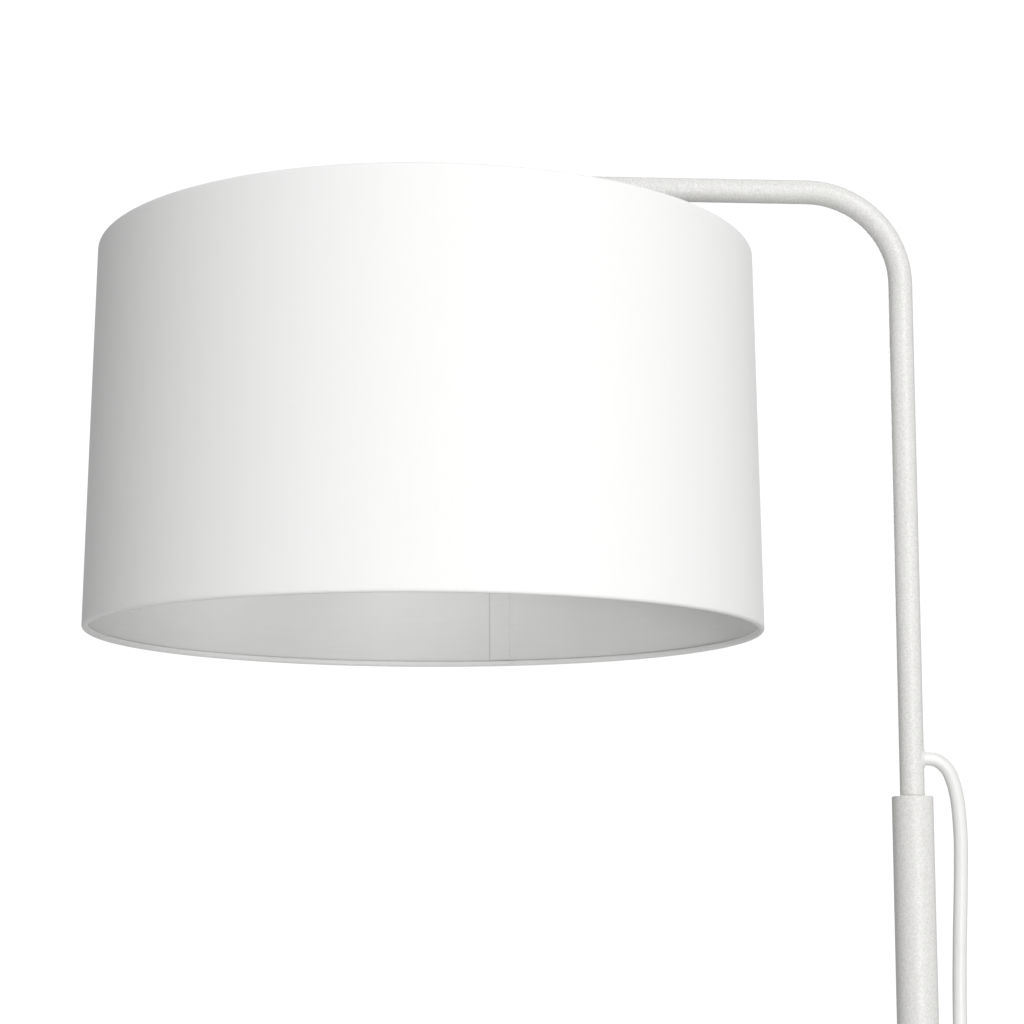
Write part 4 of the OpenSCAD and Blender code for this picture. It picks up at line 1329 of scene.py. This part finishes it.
    def tie(self) -> Piece:
        """Builds the strap round the coil's turns.

        Returns:
            The tie.
        """
        wide, tall = self.tie_half
        corner = self.tie_corner
        loop = [Vector(p) for p in rounded([
            (-wide, -tall, corner), (wide, -tall, corner), (wide, tall, corner),
            (-wide, tall, corner)], 6, 1.0)]
        half = self.tie_width * MM / 2
        bm = bmesh.new()
        rings = []
        thick = self.tie_thick * MM
        for grow, side in ((0, -half), (0, half), (thick, half), (thick, -half)):
            spots = [p + p.normalized() * grow for p in loop]
            rings.append([bm.verts.new((p.x, side, p.y)) for p in spots])
        bridge(bm, rings)
        middle = Vector((*self.coil_at, self.coil_low + 2 * self.radius)) * MM
        place = (Matrix.Translation(middle) @ Matrix.Rotation(math.radians(self.tie_turn), 4, "Z")
                 @ Matrix.Translation((self.coil * MM, 0, 0)))
        strap = moved(piece_of("coil_tie_strap", bm), place)
        return self.shop.finish(strap, TIE, Body.STAND, "coil_tie")


# ---- studio ----


@dataclass(frozen=True)
class Light:
    """One square soft light: its place, the point that it faces, its side and its watts."""

    name: str
    place: Triple
    aim: Triple
    size: float
    power: float


LIGHTS = (
    Light("key", (0.97, -2.74, 2.8), (-0.25, 0, 1.3), 1.2, 51),
    Light("low", (0.3, -2.4, 0.75), (-0.25, 0.15, 1.33), 0.5, 20),
    Light("fill", (-1.9, -1.6, 0.5), (0.0, 0, 0.8), 0.8, 4),
    Light("side", (-3.0, 1.0, 1.5), (-0.25, 0, 1.2), 1.2, 4),
    Light("back", (0.3, 3.0, 2.4), (-0.1, 0, 0.9), 1.6, 38),
    Light("top", (-0.1, 0.2, 3.4), (-0.1, 0, 0), 2.0, 10),
)


@dataclass
class Studio:
    """The floor, the lights, the white surround and the camera."""

    eye: Triple = (-0.28, -1.1629, 1.1252)
    heading: float = 3.51
    pitch: float = 7.81
    lens: float = 79.29
    shift_up: float = 0.0605
    around: float = 0.32
    seen_around: float = 1.05
    floor_radius: float = 6.0
    floor_drop: float = 0.0003

    def camera(self) -> None:
        """Sets the camera up."""
        data = bpy.data.cameras.new("view")
        data.lens = self.lens
        data.shift_y = self.shift_up
        eye = bpy.data.objects.new("view", data)
        up, side = math.radians(self.pitch), math.radians(self.heading)
        ahead = Vector((math.sin(side) * math.cos(up), math.cos(side) * math.cos(up), math.sin(up)))
        eye.location = self.eye
        eye.rotation_euler = ahead.to_track_quat("-Z", "Y").to_euler()
        bpy.context.scene.collection.objects.link(eye)
        bpy.context.scene.camera = eye

    def lights(self) -> None:
        """Adds the soft lights, which the camera doesn't see."""
        for given in LIGHTS:
            data = bpy.data.lights.new(given.name, "AREA")
            data.size = given.size
            data.energy = given.power
            light = bpy.data.objects.new(given.name, data)
            light.location = given.place
            ahead = Vector(given.aim) - Vector(given.place)
            light.rotation_euler = ahead.to_track_quat("-Z", "Y").to_euler()
            light.visible_camera = False
            bpy.context.scene.collection.objects.link(light)

    def surround(self) -> None:
        """Makes the surround white to look at, and dimmer as a light."""
        world = bpy.data.worlds.new("surround")
        world.use_nodes = True
        bpy.context.scene.world = world
        tree = world.node_tree
        seen = tree.nodes.new("ShaderNodeLightPath")
        mix = tree.nodes.new("ShaderNodeMapRange")
        mix.inputs["To Min"].default_value = self.around
        mix.inputs["To Max"].default_value = self.seen_around
        tree.links.new(seen.outputs["Is Camera Ray"], mix.inputs["Value"])
        tree.links.new(mix.outputs["Result"], tree.nodes["Background"].inputs["Strength"])
        tree.nodes["Background"].inputs["Color"].default_value = (1, 1, 1, 1)

    def floor(self) -> None:
        """Lays a plain grey floor."""
        finish = Finish("floor_pale", (0.51, 0.51, 0.505), (0.49, 0.49, 0.485), (0.6, 0.75),
                        grain=0.01, depth=0.0001, patch=0.8)
        bm = bmesh.new()
        bmesh.ops.create_circle(bm, cap_ends=True, segments=96, radius=self.floor_radius)
        slab = piece_of("floor", bm)
        slab.data.materials.append(finish.material())
        moved(slab, Matrix.Translation((0, 0, -self.floor_drop)))

    def build(self) -> None:
        """Builds the studio."""
        bpy.context.scene.view_settings.view_transform = "Standard"
        self.camera()
        self.surround()
        self.floor()
        self.lights()


def dress_carried() -> None:
    """Gives every CAD node that still shows its procedural material."""
    for finish, nodes in CARRIED.items():
        for node in nodes:
            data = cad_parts[node].data
            data.materials.clear()
            data.materials.append(finish.material())
        log.info("%s on %s", finish.name, ", ".join(nodes))


def main() -> None:
    """Builds the lamp's looks in order, from the studio to the cord."""
    logging.basicConfig(level=logging.INFO, format="%(name)s: %(message)s")
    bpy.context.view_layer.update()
    Studio().build()
    shop = Workshop(TubeTree(), RingTree(), StitchTree())
    Base(shop).build()
    Pole(shop).build()
    Arm(shop).build()
    Lampholder(shop).build()
    Shade(shop).build()
    Bulb(shop).build()
    switch_pieces = FootSwitch(shop).build()
    plug_pieces = Plug(shop).build()
    Cord(shop).build(switch_pieces, plug_pieces)
    dress_carried()


if __name__ == "__main__":
    main()
